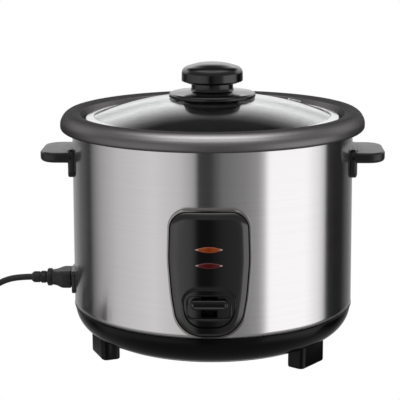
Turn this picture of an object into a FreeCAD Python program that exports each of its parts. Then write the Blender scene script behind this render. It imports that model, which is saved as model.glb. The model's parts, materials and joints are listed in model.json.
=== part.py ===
import FreeCAD, Part
import math
import os
import Sketcher

# A drum rice cooker: stainless shell on a plastic base with three feet, a lift-out pot with a glass lid,
# a heating plate with a magnetic thermostat, a cook lever with its key, and a detachable power lead.
# Millimetres, +Z up. The origin is on the floor, on the axis of the drum. The control panel faces -Y.

Vector = FreeCAD.Vector
Rotation = FreeCAD.Rotation
Placement = FreeCAD.Placement

DRIVING_SIZES = {
    # drum
    "shell_radius": 120.0, "shell_top_radius": 118.9, "shell_wall": 0.6,
    "shell_bottom": 40.8, "shell_top": 194.4, "shell_collar_radius": 109.4,
    "shield_radius": 109.3, "shield_wall": 0.5, "shield_bottom": 46.0, "shield_hole_radius": 70.0,
    # base and feet
    "base_top": 40.3, "base_bottom": 14.5, "base_round": 26.0, "base_wall": 2.4, "base_flat_radius": 100.2,
    "foot_width": 34.5, "foot_depth": 15.5, "foot_radius": 106.5, "foot_screw_circle": 98.0,
    # pot and lid
    "pot_bottom": 64.3, "pot_wall": 1.4, "pot_radius": 105.4, "pot_corner": 24.0,
    "lip_radius": 129.0, "lip_bottom": 190.7, "lip_inner_radius": 112.0, "lip_inner_height": 203.7,
    "ledge_height": 196.0, "lid_radius": 108.0, "glass_radius": 104.5, "glass_top": 218.3,
    "glass_dome": 300.0, "glass_wall": 3.0, "vent_circle": 87.8, "vent_angle": 125.5,
    "skirt_radius": 36.7, "stem_radius": 17.7, "knob_radius": 26.0, "knob_bottom": 228.4, "knob_top": 246.0,
    # heating plate and thermostat
    "plate_radius": 80.0, "plate_top": 64.2, "plate_wall": 12.0, "plate_hole_radius": 20.0,
    "element_circle": 55.0, "element_radius": 3.4, "post_circle": 60.0, "post_radius": 4.0,
    "cap_radius": 17.0, "cap_top": 64.2, "housing_radius": 15.0, "housing_neck": 11.0, "magnet_radius": 9.5,
    # cook lever
    "pivot_y": -58.0, "pivot_z": 30.0, "pin_radius": 2.0, "arm_width": 12.0, "arm_wall": 1.6,
    "arm_underside": 27.4, "riser_y": -111.2, "key_half_width": 14.8, "key_bottom": 66.3, "key_top": 74.0,
    "key_front": 127.4, "key_back": 123.3,
    # control panel
    "panel_top": 145.5, "panel_bottom": 42.4, "panel_half_width": 33.3, "panel_front": 126.2,
    "recess_half_width": 19.0, "recess_top": 82.9, "recess_floor": 122.3, "trim_width": 1.3,
    "lens_half_width": 10.9, "lens_half_height": 2.4, "amber_height": 114.7, "red_height": 102.0,
    # handles
    "handle_tip": 145.5, "handle_half_width": 28.6, "grip_bottom": 164.0, "grip_top": 172.8,
    "handle_foot_bottom": 151.0, "handle_foot_top": 175.0, "handle_foot_radius": 123.4,
    # power inlet and lead
    "inlet_height": 57.5, "inlet_flange_half_width": 21.0, "inlet_flange_half_height": 9.8,
    "inlet_face": 122.8, "well_half_width": 10.6, "well_half_height": 6.4, "well_floor": 106.5,
    "connector_half_width": 11.5, "connector_half_height": 7.5, "connector_end": 144.5, "cord_exit": 158.5,
    "cord_diameter": 5.5, "coil_turn_radius": 33.0, "coil_x": -240.0, "coil_y": 36.0,
}

doc = FreeCAD.newDocument("RiceCooker")
sheet = doc.addObject("Spreadsheet::Sheet", "sizes")
kept_nodes = []


class Size:
    """A number that remembers the spreadsheet expression it comes from."""

    def __init__(self, value, text):
        self.value = value
        self.text = text

    def __add__(self, other):
        other = as_size(other)
        return Size(self.value + other.value, f"({self.text} + {other.text})")

    def __sub__(self, other):
        other = as_size(other)
        return Size(self.value - other.value, f"({self.text} - {other.text})")

    def __mul__(self, other):
        other = as_size(other)
        return Size(self.value * other.value, f"({self.text} * {other.text})")

    def __neg__(self):
        return self * -1

    __radd__ = __add__
    __rmul__ = __mul__

    def __rsub__(self, other):
        return as_size(other) - self


def as_size(number):
    """Wrap a plain number, so that sizes and numbers mix."""
    return number if isinstance(number, Size) else Size(float(number), f"{float(number):.6f}")


class SizeTable:
    """Gives each driving size by its name."""

    def __getattr__(self, name):
        return Size(DRIVING_SIZES[name], f"sizes.{name}")


d = SizeTable()


def fill_sheet():
    """Write every driving size to the spreadsheet, one row each, with its alias."""
    for row, (name, value) in enumerate(DRIVING_SIZES.items(), start=1):
        sheet.set(f"A{row}", name)
        sheet.set(f"B{row}", str(value))
        sheet.setAlias(f"B{row}", name)
    doc.recompute()


def bind(thing, prop, size):
    """Set a property from a size and keep it bound to the sheet."""
    size = as_size(size)
    setattr(thing, prop, size.value)
    thing.setExpression(prop, size.text)


# ---- building blocks -------------------------------------------------------------------------------

def keep(thing, name):
    """Mark an object as a sub-part: its Label is the name of its node."""
    thing.Label = name
    kept_nodes.append(thing)
    return thing


def new_body(name):
    return doc.addObject("PartDesign::Body", name)


def origin_plane(body, role):
    return [part for part in body.Origin.OriginFeatures if part.Role == role][0]


def new_sketch(body, role, shift=None):
    """A sketch on one of the body's origin planes, moved along the plane's normal by a size or placed."""
    sketch = body.newObject("Sketcher::SketchObject", "outline")
    sketch.AttachmentSupport = (origin_plane(body, role), [""])
    sketch.MapMode = "FlatFace"
    if isinstance(shift, Placement):
        sketch.AttachmentOffset = shift
    elif shift is not None:
        sketch.AttachmentOffset = Placement(Vector(0, 0, as_size(shift).value), Rotation())
        sketch.setExpression("AttachmentOffset.Base.z", as_size(shift).text)
    return sketch


def bow_middle(start, end, radius):
    """Middle point of the arc of this radius from start to end; it bows to the left, or right if negative."""
    chord = end - start
    half = chord.Length / 2
    rise = abs(radius) - math.sqrt(radius ** 2 - half ** 2)
    side = Vector(-chord.y, chord.x, 0).normalize() * math.copysign(rise, radius)
    return (start + end) * 0.5 + side


def draw_outline(sketch, corners):
    """Draw a closed outline. A corner is (x, y), with a dict: round= fillets it, bow= curves the next edge."""
    first = sketch.GeometryCount
    count = len(corners)
    places = [Vector(as_size(c[0]).value, as_size(c[1]).value, 0) for c in corners]
    extras = [c[2] if len(c) > 2 else {} for c in corners]
    ends = []
    for index, extra in enumerate(extras):
        start, end = places[index], places[(index + 1) % count]
        if "bow" in extra:
            radius = as_size(extra["bow"]).value
            middle = bow_middle(start, end, radius)
            clockwise = radius > 0
            arc = Part.Arc(end, middle, start) if clockwise else Part.Arc(start, middle, end)
            sketch.addGeometry(arc)
            ends.append((2, 1) if clockwise else (1, 2))
        else:
            sketch.addGeometry(Part.LineSegment(start, end))
            ends.append((1, 2))
    for index in range(count):
        following = (index + 1) % count
        joint = (first + index, ends[index][1], first + following, ends[following][0])
        sketch.addConstraint(Sketcher.Constraint("Coincident", *joint))
    for index, corner in enumerate(corners):
        for kind, size in (("DistanceX", corner[0]), ("DistanceY", corner[1])):
            size = as_size(size)
            place = (-1, 1, first + index, ends[index][0], size.value)
            number = sketch.addConstraint(Sketcher.Constraint(kind, *place))
            sketch.setExpression(f"Constraints[{number}]", size.text)
    for index, extra in enumerate(extras):
        if "bow" in extra:
            bind_radius(sketch, first + index, extra["bow"])
    for index, extra in enumerate(extras):
        if "round" in extra:
            size = as_size(extra["round"])
            added = sketch.GeometryCount
            sketch.fillet(first + index, ends[index][0], size.value, True, True)
            bind_radius(sketch, added, size)


def bind_radius(sketch, geometry, size):
    size = as_size(size)
    value = abs(size.value)
    number = sketch.addConstraint(Sketcher.Constraint("Radius", geometry, value))
    sketch.setExpression(f"Constraints[{number}]", f"abs({size.text})")


def draw_circle(sketch, x, y, radius):
    """A circle whose centre and radius are bound to the sheet."""
    x, y = as_size(x), as_size(y)
    circle = Part.Circle(Vector(x.value, y.value, 0), Vector(0, 0, 1), as_size(radius).value)
    number = sketch.addGeometry(circle)
    for kind, size in (("DistanceX", x), ("DistanceY", y)):
        if abs(size.value) > 1e-6:
            row = sketch.addConstraint(Sketcher.Constraint(kind, -1, 1, number, 3, size.value))
            sketch.setExpression(f"Constraints[{row}]", size.text)
        else:
            axis = -2 if kind == "DistanceX" else -1
            sketch.addConstraint(Sketcher.Constraint("PointOnObject", number, 3, axis))
    bind_radius(sketch, number, radius)


def revolve(body, corners):
    """Turn a profile of (radius, height) corners about the vertical axis."""
    sketch = new_sketch(body, "XZ_Plane")
    draw_outline(sketch, corners)
    turned = body.newObject("PartDesign::Revolution", "turned")
    turned.Profile = sketch
    turned.ReferenceAxis = (sketch, ["V_Axis"])
    return turned


def pad(body, sketch, length, midplane=False, reverse=False):
    block = body.newObject("PartDesign::Pad", "block")
    block.Profile = sketch
    bind(block, "Length", length)
    block.SideType = "Symmetric" if midplane else "One side"
    block.Reversed = reverse
    return block


def pocket(body, sketch, length, reverse=False, midplane=False):
    """Cut a sketch out of the body, and stop if it cuts nothing."""
    doc.recompute()
    before = body.Shape.Volume
    hole = body.newObject("PartDesign::Pocket", "hole")
    hole.Profile = sketch
    bind(hole, "Length", length)
    hole.Reversed = reverse
    hole.SideType = "Symmetric" if midplane else "One side"
    doc.recompute()
    if body.Shape.Volume > before - 0.01:
        raise RuntimeError(f"{body.Name}: a pocket cut nothing")
    return hole


def polar_copies(body, feature, count):
    pattern = body.newObject("PartDesign::PolarPattern", "copies")
    pattern.Originals = [feature]
    pattern.Axis = (feature.Profile[0], ["N_Axis"])
    pattern.Angle = 360
    pattern.Occurrences = count
    body.Tip = pattern


def box(name, low, high):
    """A Part::Box between two corners, bound to the sheet."""
    block = doc.addObject("Part::Box", name)
    for prop, axis, a, b in zip(("Length", "Width", "Height"), "xyz", low, high):
        a, b = as_size(a), as_size(b)
        block.setExpression(f"Placement.Base.{axis}", a.text)
        bind(block, prop, b - a)
    return block


def rod(name, radius, start, length, axis=Vector(0, 0, 1)):
    """A Part::Cylinder from a start point along an axis."""
    bar = doc.addObject("Part::Cylinder", name)
    bind(bar, "Radius", radius)
    bind(bar, "Height", length)
    bar.Placement = Placement(Vector(), Rotation(Vector(0, 0, 1), axis))
    for letter, size in zip("xyz", start):
        bar.setExpression(f"Placement.Base.{letter}", as_size(size).text)
    return bar


def cone(name, low_radius, high_radius, bottom, top):
    """A Part::Cone about the drum's axis."""
    solid = doc.addObject("Part::Cone", name)
    bind(solid, "Radius1", low_radius)
    bind(solid, "Radius2", high_radius)
    bind(solid, "Height", as_size(top) - as_size(bottom))
    solid.setExpression("Placement.Base.z", as_size(bottom).text)
    return solid


def cut(name, base, tool):
    result = doc.addObject("Part::Cut", name)
    result.Base, result.Tool = base, tool
    return result


def common(name, base, tool):
    result = doc.addObject("Part::Common", name)
    result.Base, result.Tool = base, tool
    return result


def fuse(name, pieces):
    result = doc.addObject("Part::MultiFuse", name)
    result.Shapes = pieces
    return result


def group(name, pieces):
    """Several separate solids in one node."""
    result = doc.addObject("Part::Compound", name)
    result.Links = pieces
    return result


def around(angle, radius):
    """Point at a number of degrees from the front (-Y), towards +X."""
    turn = math.radians(angle)
    radius = as_size(radius)
    return radius * math.sin(turn), radius * -math.cos(turn)


def turned_to(thing, angle):
    """Turn an object made at the front (-Y) to its own angle from the front."""
    thing.Placement = Placement(Vector(), Rotation(Vector(0, 0, 1), angle))
    return thing


def shell_cone(name, clearance):
    """The drum's outer face as a solid, pushed out by a clearance."""
    return cone(name, d.shell_radius + clearance, d.shell_top_radius + clearance, d.shell_bottom, d.shell_top)


# ---- drum ------------------------------------------------------------------------------------------

FOOT_ANGLES = {"foot_front_left": -66.7, "foot_front_right": 53.3, "foot_rear": 173.3}
POST_ANGLES = (60.0, 180.0, 300.0)
HANDLE_SCREW_Y = 17.0
LAMP_HEIGHTS = (d.amber_height, d.red_height)


def outer_shell():
    """Brushed sheet drum with a rolled top edge, a key window, lamp holes and the inlet hole."""
    body = keep(new_body("outer_shell"), "outer_shell")
    inner_top = d.shell_top - d.shell_wall
    revolve(body, [
        (d.shell_radius, d.shell_bottom), (d.shell_top_radius, d.shell_top, {"round": 2.6}),
        (d.shell_collar_radius, d.shell_top, {"round": 1.6}), (d.shell_collar_radius, d.shell_top - 7),
        (d.shell_collar_radius + d.shell_wall, d.shell_top - 7),
        (d.shell_collar_radius + d.shell_wall, inner_top, {"round": 1.0}),
        (d.shell_top_radius - d.shell_wall, inner_top, {"round": 2.0}),
        (d.shell_radius - d.shell_wall, d.shell_bottom),
    ])
    front = new_sketch(body, "XZ_Plane")
    draw_outline(front, [(-9, 52, {"round": 2}), (9, 52, {"round": 2}), (9, 80, {"round": 2}),
                         (-9, 80, {"round": 2})])
    for height in LAMP_HEIGHTS:
        draw_circle(front, 0, height, 4.2)
    pocket(body, front, d.shell_radius + 5, reverse=True)
    side = new_sketch(body, "YZ_Plane")
    low, high = d.inlet_height - 8.5, d.inlet_height + 8.5
    draw_outline(side, [(-13.2, low, {"round": 3}), (13.2, low, {"round": 3}), (13.2, high, {"round": 3}),
                        (-13.2, high, {"round": 3})])
    pocket(body, side, d.shell_radius + 5)
    ends = new_sketch(body, "YZ_Plane")
    for y in (-HANDLE_SCREW_Y, HANDLE_SCREW_Y):
        draw_circle(ends, y, d.grip_bottom + 4.4, 2.3)
    pocket(body, ends, d.shell_radius * 2 + 10, midplane=True)


def inner_shield():
    """Heat shield: a tapered cup, open below, inside the drum's collar, with a window for the wires."""
    body = keep(new_body("inner_shield"), "inner_shield")
    top = d.shell_top - 1.2
    wall = d.shield_wall
    low = 98.0
    revolve(body, [
        (d.shield_hole_radius, d.shield_bottom), (low, d.shield_bottom, {"round": 3.0}),
        (low, 60.0), (d.shield_radius, 90.0), (d.shield_radius, top), (d.shield_radius - wall, top),
        (d.shield_radius - wall, 90.0), (low - wall, 60.0), (low - wall, d.shield_bottom + wall, {"round": 2.5}),
        (d.shield_hole_radius, d.shield_bottom + wall),
    ])
    window = new_sketch(body, "YZ_Plane")
    draw_outline(window, [(-16, 40), (16, 40), (16, 63, {"round": 3}), (-16, 63, {"round": 3})])
    pocket(body, window, 110)


def base_profile(clearance):
    """Outside of the base from its top edge to its flat underside."""
    return [
        (d.shell_radius + clearance, d.base_top, {"bow": d.base_round + clearance}),
        (d.base_flat_radius + 1.3, d.base_bottom + 1.1 - clearance),
        (d.base_flat_radius, d.base_bottom - clearance),
    ]


def base_cover():
    """Plastic base: quarter-round outside, a ring that locates the drum, cooling slots and screw holes."""
    body = keep(new_body("base_cover"), "base_cover")
    floor = d.base_bottom + d.base_wall
    revolve(body, base_profile(0) + [
        (12.0, d.base_bottom), (12.0, floor),
        (d.base_flat_radius - 0.4, floor), (d.base_flat_radius + 0.8, floor + 1.0, {"bow": -23.2}),
        (116.6, d.base_top - 0.8), (116.6, d.base_top + 6.7), (118.9, d.base_top + 6.7),
        (118.9, d.base_top),
    ])
    slot = new_sketch(body, "XY_Plane", d.base_bottom - 1)
    draw_outline(slot, [(30, -1.5, {"round": 1.2}), (46, -1.5, {"round": 1.2}), (46, 1.5, {"round": 1.2}),
                        (30, 1.5, {"round": 1.2})])
    first_slot = pocket(body, slot, 6, reverse=True)
    polar_copies(body, first_slot, 12)
    holes = new_sketch(body, "XY_Plane", d.base_bottom - 1)
    for angle in FOOT_ANGLES.values():
        draw_circle(holes, *around(angle, d.foot_screw_circle), 1.8)
    for angle in POST_ANGLES:
        draw_circle(holes, *around(angle, d.post_circle), 1.8)
    pocket(body, holes, 8, reverse=True)


def feet():
    """Three block feet whose tops follow the base."""
    for name, angle in FOOT_ANGLES.items():
        envelope = new_body("base_envelope")
        revolve(envelope, base_profile(0.05) + [
            (0, d.base_bottom - 0.05), (0, d.base_top + 20), (d.shell_radius + 0.05, d.base_top + 20)])
        block = new_body("foot_block")
        plan = new_sketch(block, "XY_Plane")
        half = d.foot_width * 0.5
        back = -d.foot_radius + d.foot_depth
        draw_outline(plan, [
            (-half, -d.foot_radius, {"round": 4.5}), (half, -d.foot_radius, {"round": 4.5}),
            (half, back, {"round": 3}), (-half, back, {"round": 3})])
        pad(block, plan, 20)
        recess = new_sketch(block, "XY_Plane")
        draw_circle(recess, 0, -d.foot_screw_circle, 4.2)
        pocket(block, recess, 8, reverse=True)
        screw_way = new_sketch(block, "XY_Plane")
        draw_circle(screw_way, 0, -d.foot_screw_circle, 1.8)
        pocket(block, screw_way, 20, reverse=True)
        foot = keep(cut(name, block, envelope), name)
        turned_to(foot, angle)


def screw(name, x, y, head_bottom, head_height, length, head_radius=3.3, shank_radius=1.5):
    """An upright screw with its head below."""
    head = rod(name + "_head", head_radius, (x, y, head_bottom), head_height)
    shank = rod(name + "_shank", shank_radius, (x, y, head_bottom), as_size(head_height) + length)
    return fuse(name, [head, shank])


def fasteners():
    """Screws that hold the feet to the base and the plate posts to the base, as two groups."""
    foot_screws = [screw(f"foot_screw_{number}", *around(angle, d.foot_screw_circle), 5.6, 2.4, 16)
                   for number, angle in enumerate(FOOT_ANGLES.values())]
    keep(group("foot_screws", foot_screws), "foot_screws")
    post_screws = [screw(f"base_screw_{number}", *around(angle, d.post_circle), d.base_bottom - 2.0, 1.95, 2.3)
                   for number, angle in enumerate(POST_ANGLES)]
    keep(group("base_screws", post_screws), "base_screws")


# ---- heating plate and thermostat ------------------------------------------------------------------

def heating_plate():
    """Cast plate with a slightly domed top, a centre hole and a groove for the element."""
    body = keep(new_body("heating_plate"), "heating_plate")
    under = d.plate_top - d.plate_wall
    revolve(body, [
        (d.plate_hole_radius, under), (d.plate_radius - 8, under, {"round": 2}),
        (d.plate_radius, under + 6), (d.plate_radius, d.plate_top, {"round": 2.5}),
        (d.plate_hole_radius, d.plate_top, {"round": 1})])
    groove_sketch = new_sketch(body, "XZ_Plane")
    draw_circle(groove_sketch, d.element_circle, under, d.element_radius + 0.1)
    doc.recompute()
    before = body.Shape.Volume
    groove = body.newObject("PartDesign::Groove", "element_groove")
    groove.Profile = groove_sketch
    groove.ReferenceAxis = (groove_sketch, ["V_Axis"])
    doc.recompute()
    if body.Shape.Volume > before - 1:
        raise RuntimeError("the element groove cut nothing")


def heating_element():
    """Tubular element: most of a ring, with a terminal pin down from each end."""
    under = d.plate_top - d.plate_wall
    ring = doc.addObject("Part::Torus", "element_ring")
    bind(ring, "Radius1", d.element_circle)
    bind(ring, "Radius2", d.element_radius)
    ring.Angle3 = 320
    ring.Placement = Placement(Vector(), Rotation(Vector(0, 0, 1), 200))
    ring.setExpression("Placement.Base.z", under.text)
    pins = []
    for number, turn in enumerate((200.0, 160.0)):
        x = d.element_circle * math.cos(math.radians(turn))
        y = d.element_circle * math.sin(math.radians(turn))
        pins.append(rod(f"element_pin_{number}", d.element_radius, (x, y, under - 16), 16))
    keep(fuse("heating_element", [ring] + pins), "heating_element")


def plate_posts():
    """Posts from the base up to the plate."""
    floor = d.base_bottom + d.base_wall
    height = d.plate_top - d.plate_wall - floor
    posts = []
    for number, angle in enumerate(POST_ANGLES):
        x, y = around(angle, d.post_circle)
        post = rod(f"post_{number}", d.post_radius, (x, y, floor), height)
        bore = rod(f"post_bore_{number}", 1.55, (x, y, floor - 1), 8)
        groove = doc.addObject("Part::Torus", f"post_relief_{number}")
        bind(groove, "Radius1", d.element_circle)
        bind(groove, "Radius2", d.element_radius + 0.2)
        groove.setExpression("Placement.Base.z", (d.plate_top - d.plate_wall).text)
        posts.append(cut(f"relieved_post_{number}", cut(f"bored_post_{number}", post, bore), groove))
    keep(group("plate_posts", posts), "plate_posts")


def thermostat():
    """Housing on a strap under the plate, with its spring cap and the magnet that the lever lifts."""
    bracket = keep(new_body("thermostat_bracket"), "thermostat_bracket")
    strap = new_sketch(bracket, "XZ_Plane")
    under = d.plate_top - d.plate_wall
    draw_outline(strap, [
        (-38, under), (-26, under), (-26, 39.9), (26, 39.9), (26, under), (38, under),
        (38, under - 1.2), (27.2, under - 1.2), (27.2, 38.7), (-27.2, 38.7), (-27.2, under - 1.2),
        (-38, under - 1.2)])
    pad(bracket, strap, 16, midplane=True)
    way = new_sketch(bracket, "XY_Plane", 30)
    draw_circle(way, 0, 0, d.magnet_radius + 1.6)
    pocket(bracket, way, 14, reverse=True)

    housing = keep(new_body("thermostat_housing"), "thermostat_housing")
    bore = d.magnet_radius + 0.6
    revolve(housing, [
        (bore, 40.0), (d.housing_radius + 3, 40.0), (d.housing_radius + 3, 41.2), (d.housing_radius, 41.2),
        (d.housing_radius, 46.0, {"round": 0.6}), (d.housing_neck, 46.0), (d.housing_neck, 58.0),
        (bore, 58.0)])

    cap = keep(new_body("sensor_cap"), "sensor_cap")
    revolve(cap, [
        (0, d.cap_top - 1.2), (d.cap_radius - 1.0, d.cap_top - 1.2), (d.cap_radius - 1.0, 51.0),
        (d.cap_radius, 51.0), (d.cap_radius, d.cap_top, {"round": 1.4}), (0, d.cap_top)])

    spring = keep(new_body("sensor_spring"), "sensor_spring")
    wire = new_sketch(spring, "XZ_Plane")
    draw_circle(wire, 13.2, 46.7, 0.6)
    coil = spring.newObject("PartDesign::AdditiveHelix", "coil")
    coil.Profile = wire
    coil.ReferenceAxis = (wire, ["V_Axis"])
    coil.Mode = "height-turns-angle"
    coil.Height, coil.Turns, coil.Angle = 15.0, 5, 0

    magnet = keep(new_body("magnet"), "magnet")
    revolve(magnet, [
        (0, 29.3), (2.0, 29.3), (2.0, 41.0), (d.magnet_radius, 41.0, {"round": 0.5}),
        (d.magnet_radius, 50.0, {"round": 0.5}), (0, 50.0)])


def small_controls():
    """Keep-warm thermostat and thermal fuse under the plate."""
    under = d.plate_top - d.plate_wall
    can = rod("warm_can", 8, (24, 30, under - 6), 6)
    tabs = [box(f"warm_tab_{side}", (24 + side - 1.6, 29.6, under - 13), (24 + side + 1.6, 30.4, under - 5.5))
            for side in (-4, 4)]
    keep(fuse("keep_warm_thermostat", [can] + tabs), "keep_warm_thermostat")
    tube = rod("fuse_tube", 2.2, (-34, 27, under - 2.4), 14, Vector(1, 0, 0))
    leads = rod("fuse_leads", 0.6, (-38, 27, under - 2.4), 22, Vector(1, 0, 0))
    keep(fuse("thermal_fuse", [tube, leads]), "thermal_fuse")


# ---- cook lever ------------------------------------------------------------------------------------

def cook_lever():
    """Sheet lever: arm under the magnet, two ears on the pin, a riser and a stub to the key."""
    body = keep(new_body("cook_lever"), "cook_lever")
    under = d.arm_underside
    over = under + d.arm_wall
    riser_out = d.riser_y - d.arm_wall
    side_view = new_sketch(body, "YZ_Plane")
    draw_outline(side_view, [
        (7, under), (-90, under, {"round": 3.0}), (riser_out, 47, {"round": 5.0}), (riser_out, 69.4),
        (-d.key_back, 69.4), (-d.key_back, 71.0), (d.riser_y, 71.0, {"round": 1.0}),
        (d.riser_y, 47.7, {"round": 3.4}), (-89.4, over, {"round": 1.4}), (7, over)])
    pad(body, side_view, d.arm_width - 4, midplane=True)
    plan = new_sketch(body, "XY_Plane", under)
    half = d.arm_width * 0.5
    draw_outline(plan, [(-half, -86), (half, -86), (half, 7, {"round": 3}), (-half, 7, {"round": 3})])
    pad(body, plan, d.arm_wall)
    ear = new_sketch(body, "YZ_Plane")
    draw_outline(ear, [
        (d.pivot_y - 5, under), (d.pivot_y + 5, under), (d.pivot_y + 5, d.pivot_z + 4.5, {"round": 3}),
        (d.pivot_y - 5, d.pivot_z + 4.5, {"round": 3})])
    pad(body, ear, d.arm_width, midplane=True)
    gap = new_sketch(body, "YZ_Plane")
    draw_outline(gap, [
        (d.pivot_y - 6, over), (d.pivot_y + 6, over), (d.pivot_y + 6, d.pivot_z + 6),
        (d.pivot_y - 6, d.pivot_z + 6)])
    pocket(body, gap, d.arm_width - 2.4, midplane=True)
    pin_way = new_sketch(body, "YZ_Plane")
    draw_circle(pin_way, d.pivot_y, d.pivot_z, d.pin_radius + 0.05)
    pocket(body, pin_way, d.arm_width + 2, midplane=True)


def lever_mounting():
    """Bracket with two cheeks, the pivot pin, and the microswitch with its plunger."""
    floor = d.base_bottom + d.base_wall
    bracket = keep(new_body("lever_bracket"), "lever_bracket")
    cheek = new_sketch(bracket, "YZ_Plane")
    draw_outline(cheek, [
        (d.pivot_y - 5.5, floor), (d.pivot_y + 5.5, floor), (d.pivot_y + 5.5, d.pivot_z + 4, {"round": 3}),
        (d.pivot_y - 5.5, d.pivot_z + 4, {"round": 3})])
    pad(bracket, cheek, 19.4, midplane=True)
    inside = new_sketch(bracket, "YZ_Plane")
    draw_outline(inside, [
        (d.pivot_y - 7, floor + 1.2), (d.pivot_y + 7, floor + 1.2), (d.pivot_y + 7, d.pivot_z + 7),
        (d.pivot_y - 7, d.pivot_z + 7)])
    pocket(bracket, inside, 16.4, midplane=True)
    pin_hole = new_sketch(bracket, "YZ_Plane")
    draw_circle(pin_hole, d.pivot_y, d.pivot_z, d.pin_radius)
    pocket(bracket, pin_hole, 24, midplane=True)
    keep(rod("lever_pin", d.pin_radius, (-11, d.pivot_y, d.pivot_z), 22, Vector(1, 0, 0)), "lever_pin")

    case = keep(new_body("microswitch"), "microswitch")
    plan = new_sketch(case, "XY_Plane", floor)
    draw_outline(plan, [
        (-3.2, -84.5, {"round": 0.6}), (3.2, -84.5, {"round": 0.6}), (3.2, -64.5, {"round": 0.6}),
        (-3.2, -64.5, {"round": 0.6})])
    pad(case, plan, 7.0)
    well = new_sketch(case, "XY_Plane", floor + 7.0)
    draw_outline(well, [(-1.4, -71.5), (1.4, -71.5), (1.4, -68.5), (-1.4, -68.5)])
    pocket(case, well, 4.0)
    keep(box("microswitch_plunger", (-1.2, -71.3, floor + 4.8), (1.2, -68.7, 27.2)), "microswitch_plunger")


def switch_key():
    """Rounded bar on the lever's stub."""
    body = keep(new_body("switch_key"), "switch_key")
    front = new_sketch(body, "XZ_Plane", d.key_back)
    half = d.key_half_width
    draw_outline(front, [
        (-half, d.key_bottom, {"round": 3.2}), (half, d.key_bottom, {"round": 3.2}),
        (half, d.key_top, {"round": 3.2}), (-half, d.key_top, {"round": 3.2})])
    bar = pad(body, front, d.key_front - d.key_back)
    doc.recompute()
    face = max(range(len(bar.Shape.Faces)), key=lambda i: -bar.Shape.Faces[i].CenterOfMass.y)
    edge = body.newObject("PartDesign::Fillet", "soft_edge")
    edge.Base = (bar, [f"Face{face + 1}"])
    edge.Radius = 1.4


# ---- control panel ---------------------------------------------------------------------------------

def panel_outline(inset):
    """Front view of the panel: straight sides, rounded top corners and a U-shaped bottom."""
    half = d.panel_half_width - inset
    return [
        (half - 2.3, 75), (half, 105), (half - 1.4, d.panel_top - inset, {"round": 14.0}),
        (-half + 1.4, d.panel_top - inset, {"round": 14.0}), (-half, 105), (-half + 2.3, 75),
        (-half + 7.8, d.panel_bottom + inset, {"round": 22.0}),
        (half - 7.8, d.panel_bottom + inset, {"round": 22.0})]


def front_prism(name, draw, start=100.0, length=40.0):
    """A block pushed out towards -Y from an outline drawn in the front view."""
    body = new_body(name)
    sketch = new_sketch(body, "XZ_Plane", start)
    draw(sketch)
    pad(body, sketch, length)
    return body


def lens_outline(height, grow):
    """Pointed oval about a lamp's centre."""
    half, rise = d.lens_half_width + grow, d.lens_half_height + grow
    bow = (half.value ** 2 + rise.value ** 2) / (2 * rise.value)
    return [(-half, height, {"bow": bow}), (half, height, {"bow": bow})]


def control_panel():
    """Panel housing curved round the drum, with lens windows, the key's recess and a slot for the stub."""
    slab = front_prism("panel_slab", lambda sketch: draw_outline(sketch, panel_outline(1.5)))
    barrel = rod("panel_barrel", d.panel_front, (0, 0, 40), 110)
    skin = common("panel_skin", slab, barrel)
    hollow = cut("panel_shell", skin, shell_cone("panel_back", 0.15))

    def recess(sketch):
        half = d.recess_half_width
        draw_outline(sketch, [
            (-half, d.panel_bottom + 14, {"round": 6}), (half, d.panel_bottom + 14, {"round": 6}),
            (half, d.recess_top, {"round": 12}), (-half, d.recess_top, {"round": 12})])

    recess_block = front_prism("recess_block", recess, start=110.0)
    recess_tool = cut("recess_tool", recess_block, rod("recess_floor", d.recess_floor, (0, 0, 40), 110))
    slot = box("stub_slot", (-6.5, -135, 55), (6.5, -100, 77))
    windows = [front_prism(f"window_{number}",
                           lambda sketch, h=height: draw_outline(sketch, lens_outline(h, 0.12)))
               for number, height in enumerate(LAMP_HEIGHTS)]
    tools = fuse("panel_openings", [recess_tool, slot] + windows)
    keep(cut("control_panel", hollow, tools), "control_panel")


def panel_trim():
    """Thin bright strip round the panel's edge."""
    outer = front_prism("trim_outer", lambda sketch: draw_outline(sketch, panel_outline(0)))
    inner = front_prism("trim_inner", lambda sketch: draw_outline(sketch, panel_outline(1.45)))
    strip = cut("trim_strip", outer, inner)
    low = common("trim_low", strip, rod("trim_barrel", d.panel_front - 1.9, (0, 0, 40), 110))
    keep(cut("panel_trim", low, shell_cone("trim_back", 0.15)), "panel_trim")


def lenses():
    """Two lamp lenses that stand a little proud of the panel."""
    for name, height in (("lens_amber", d.amber_height), ("lens_red", d.red_height)):
        blank = front_prism(name + "_blank", lambda sketch, h=height: draw_outline(sketch, lens_outline(h, 0)))
        proud = common(name + "_proud", blank, rod(name + "_barrel", d.panel_front + 0.9, (0, 0, 40), 110))
        keep(cut(name, proud, shell_cone(name + "_back", 0.4)), name)


def lamps():
    """Two small lamps on a board behind the lenses."""
    bulbs = [rod(f"bulb_{number}", 2.6, (0, -111.0, height), 7.0, Vector(0, -1, 0))
             for number, height in enumerate(LAMP_HEIGHTS)]
    keep(group("lamp_bulbs", bulbs), "lamp_bulbs")
    keep(box("lamp_board", (-7, -110.9, 94), (7, -109.7, 123)), "lamp_board")


# ---- handles ---------------------------------------------------------------------------------------

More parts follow.
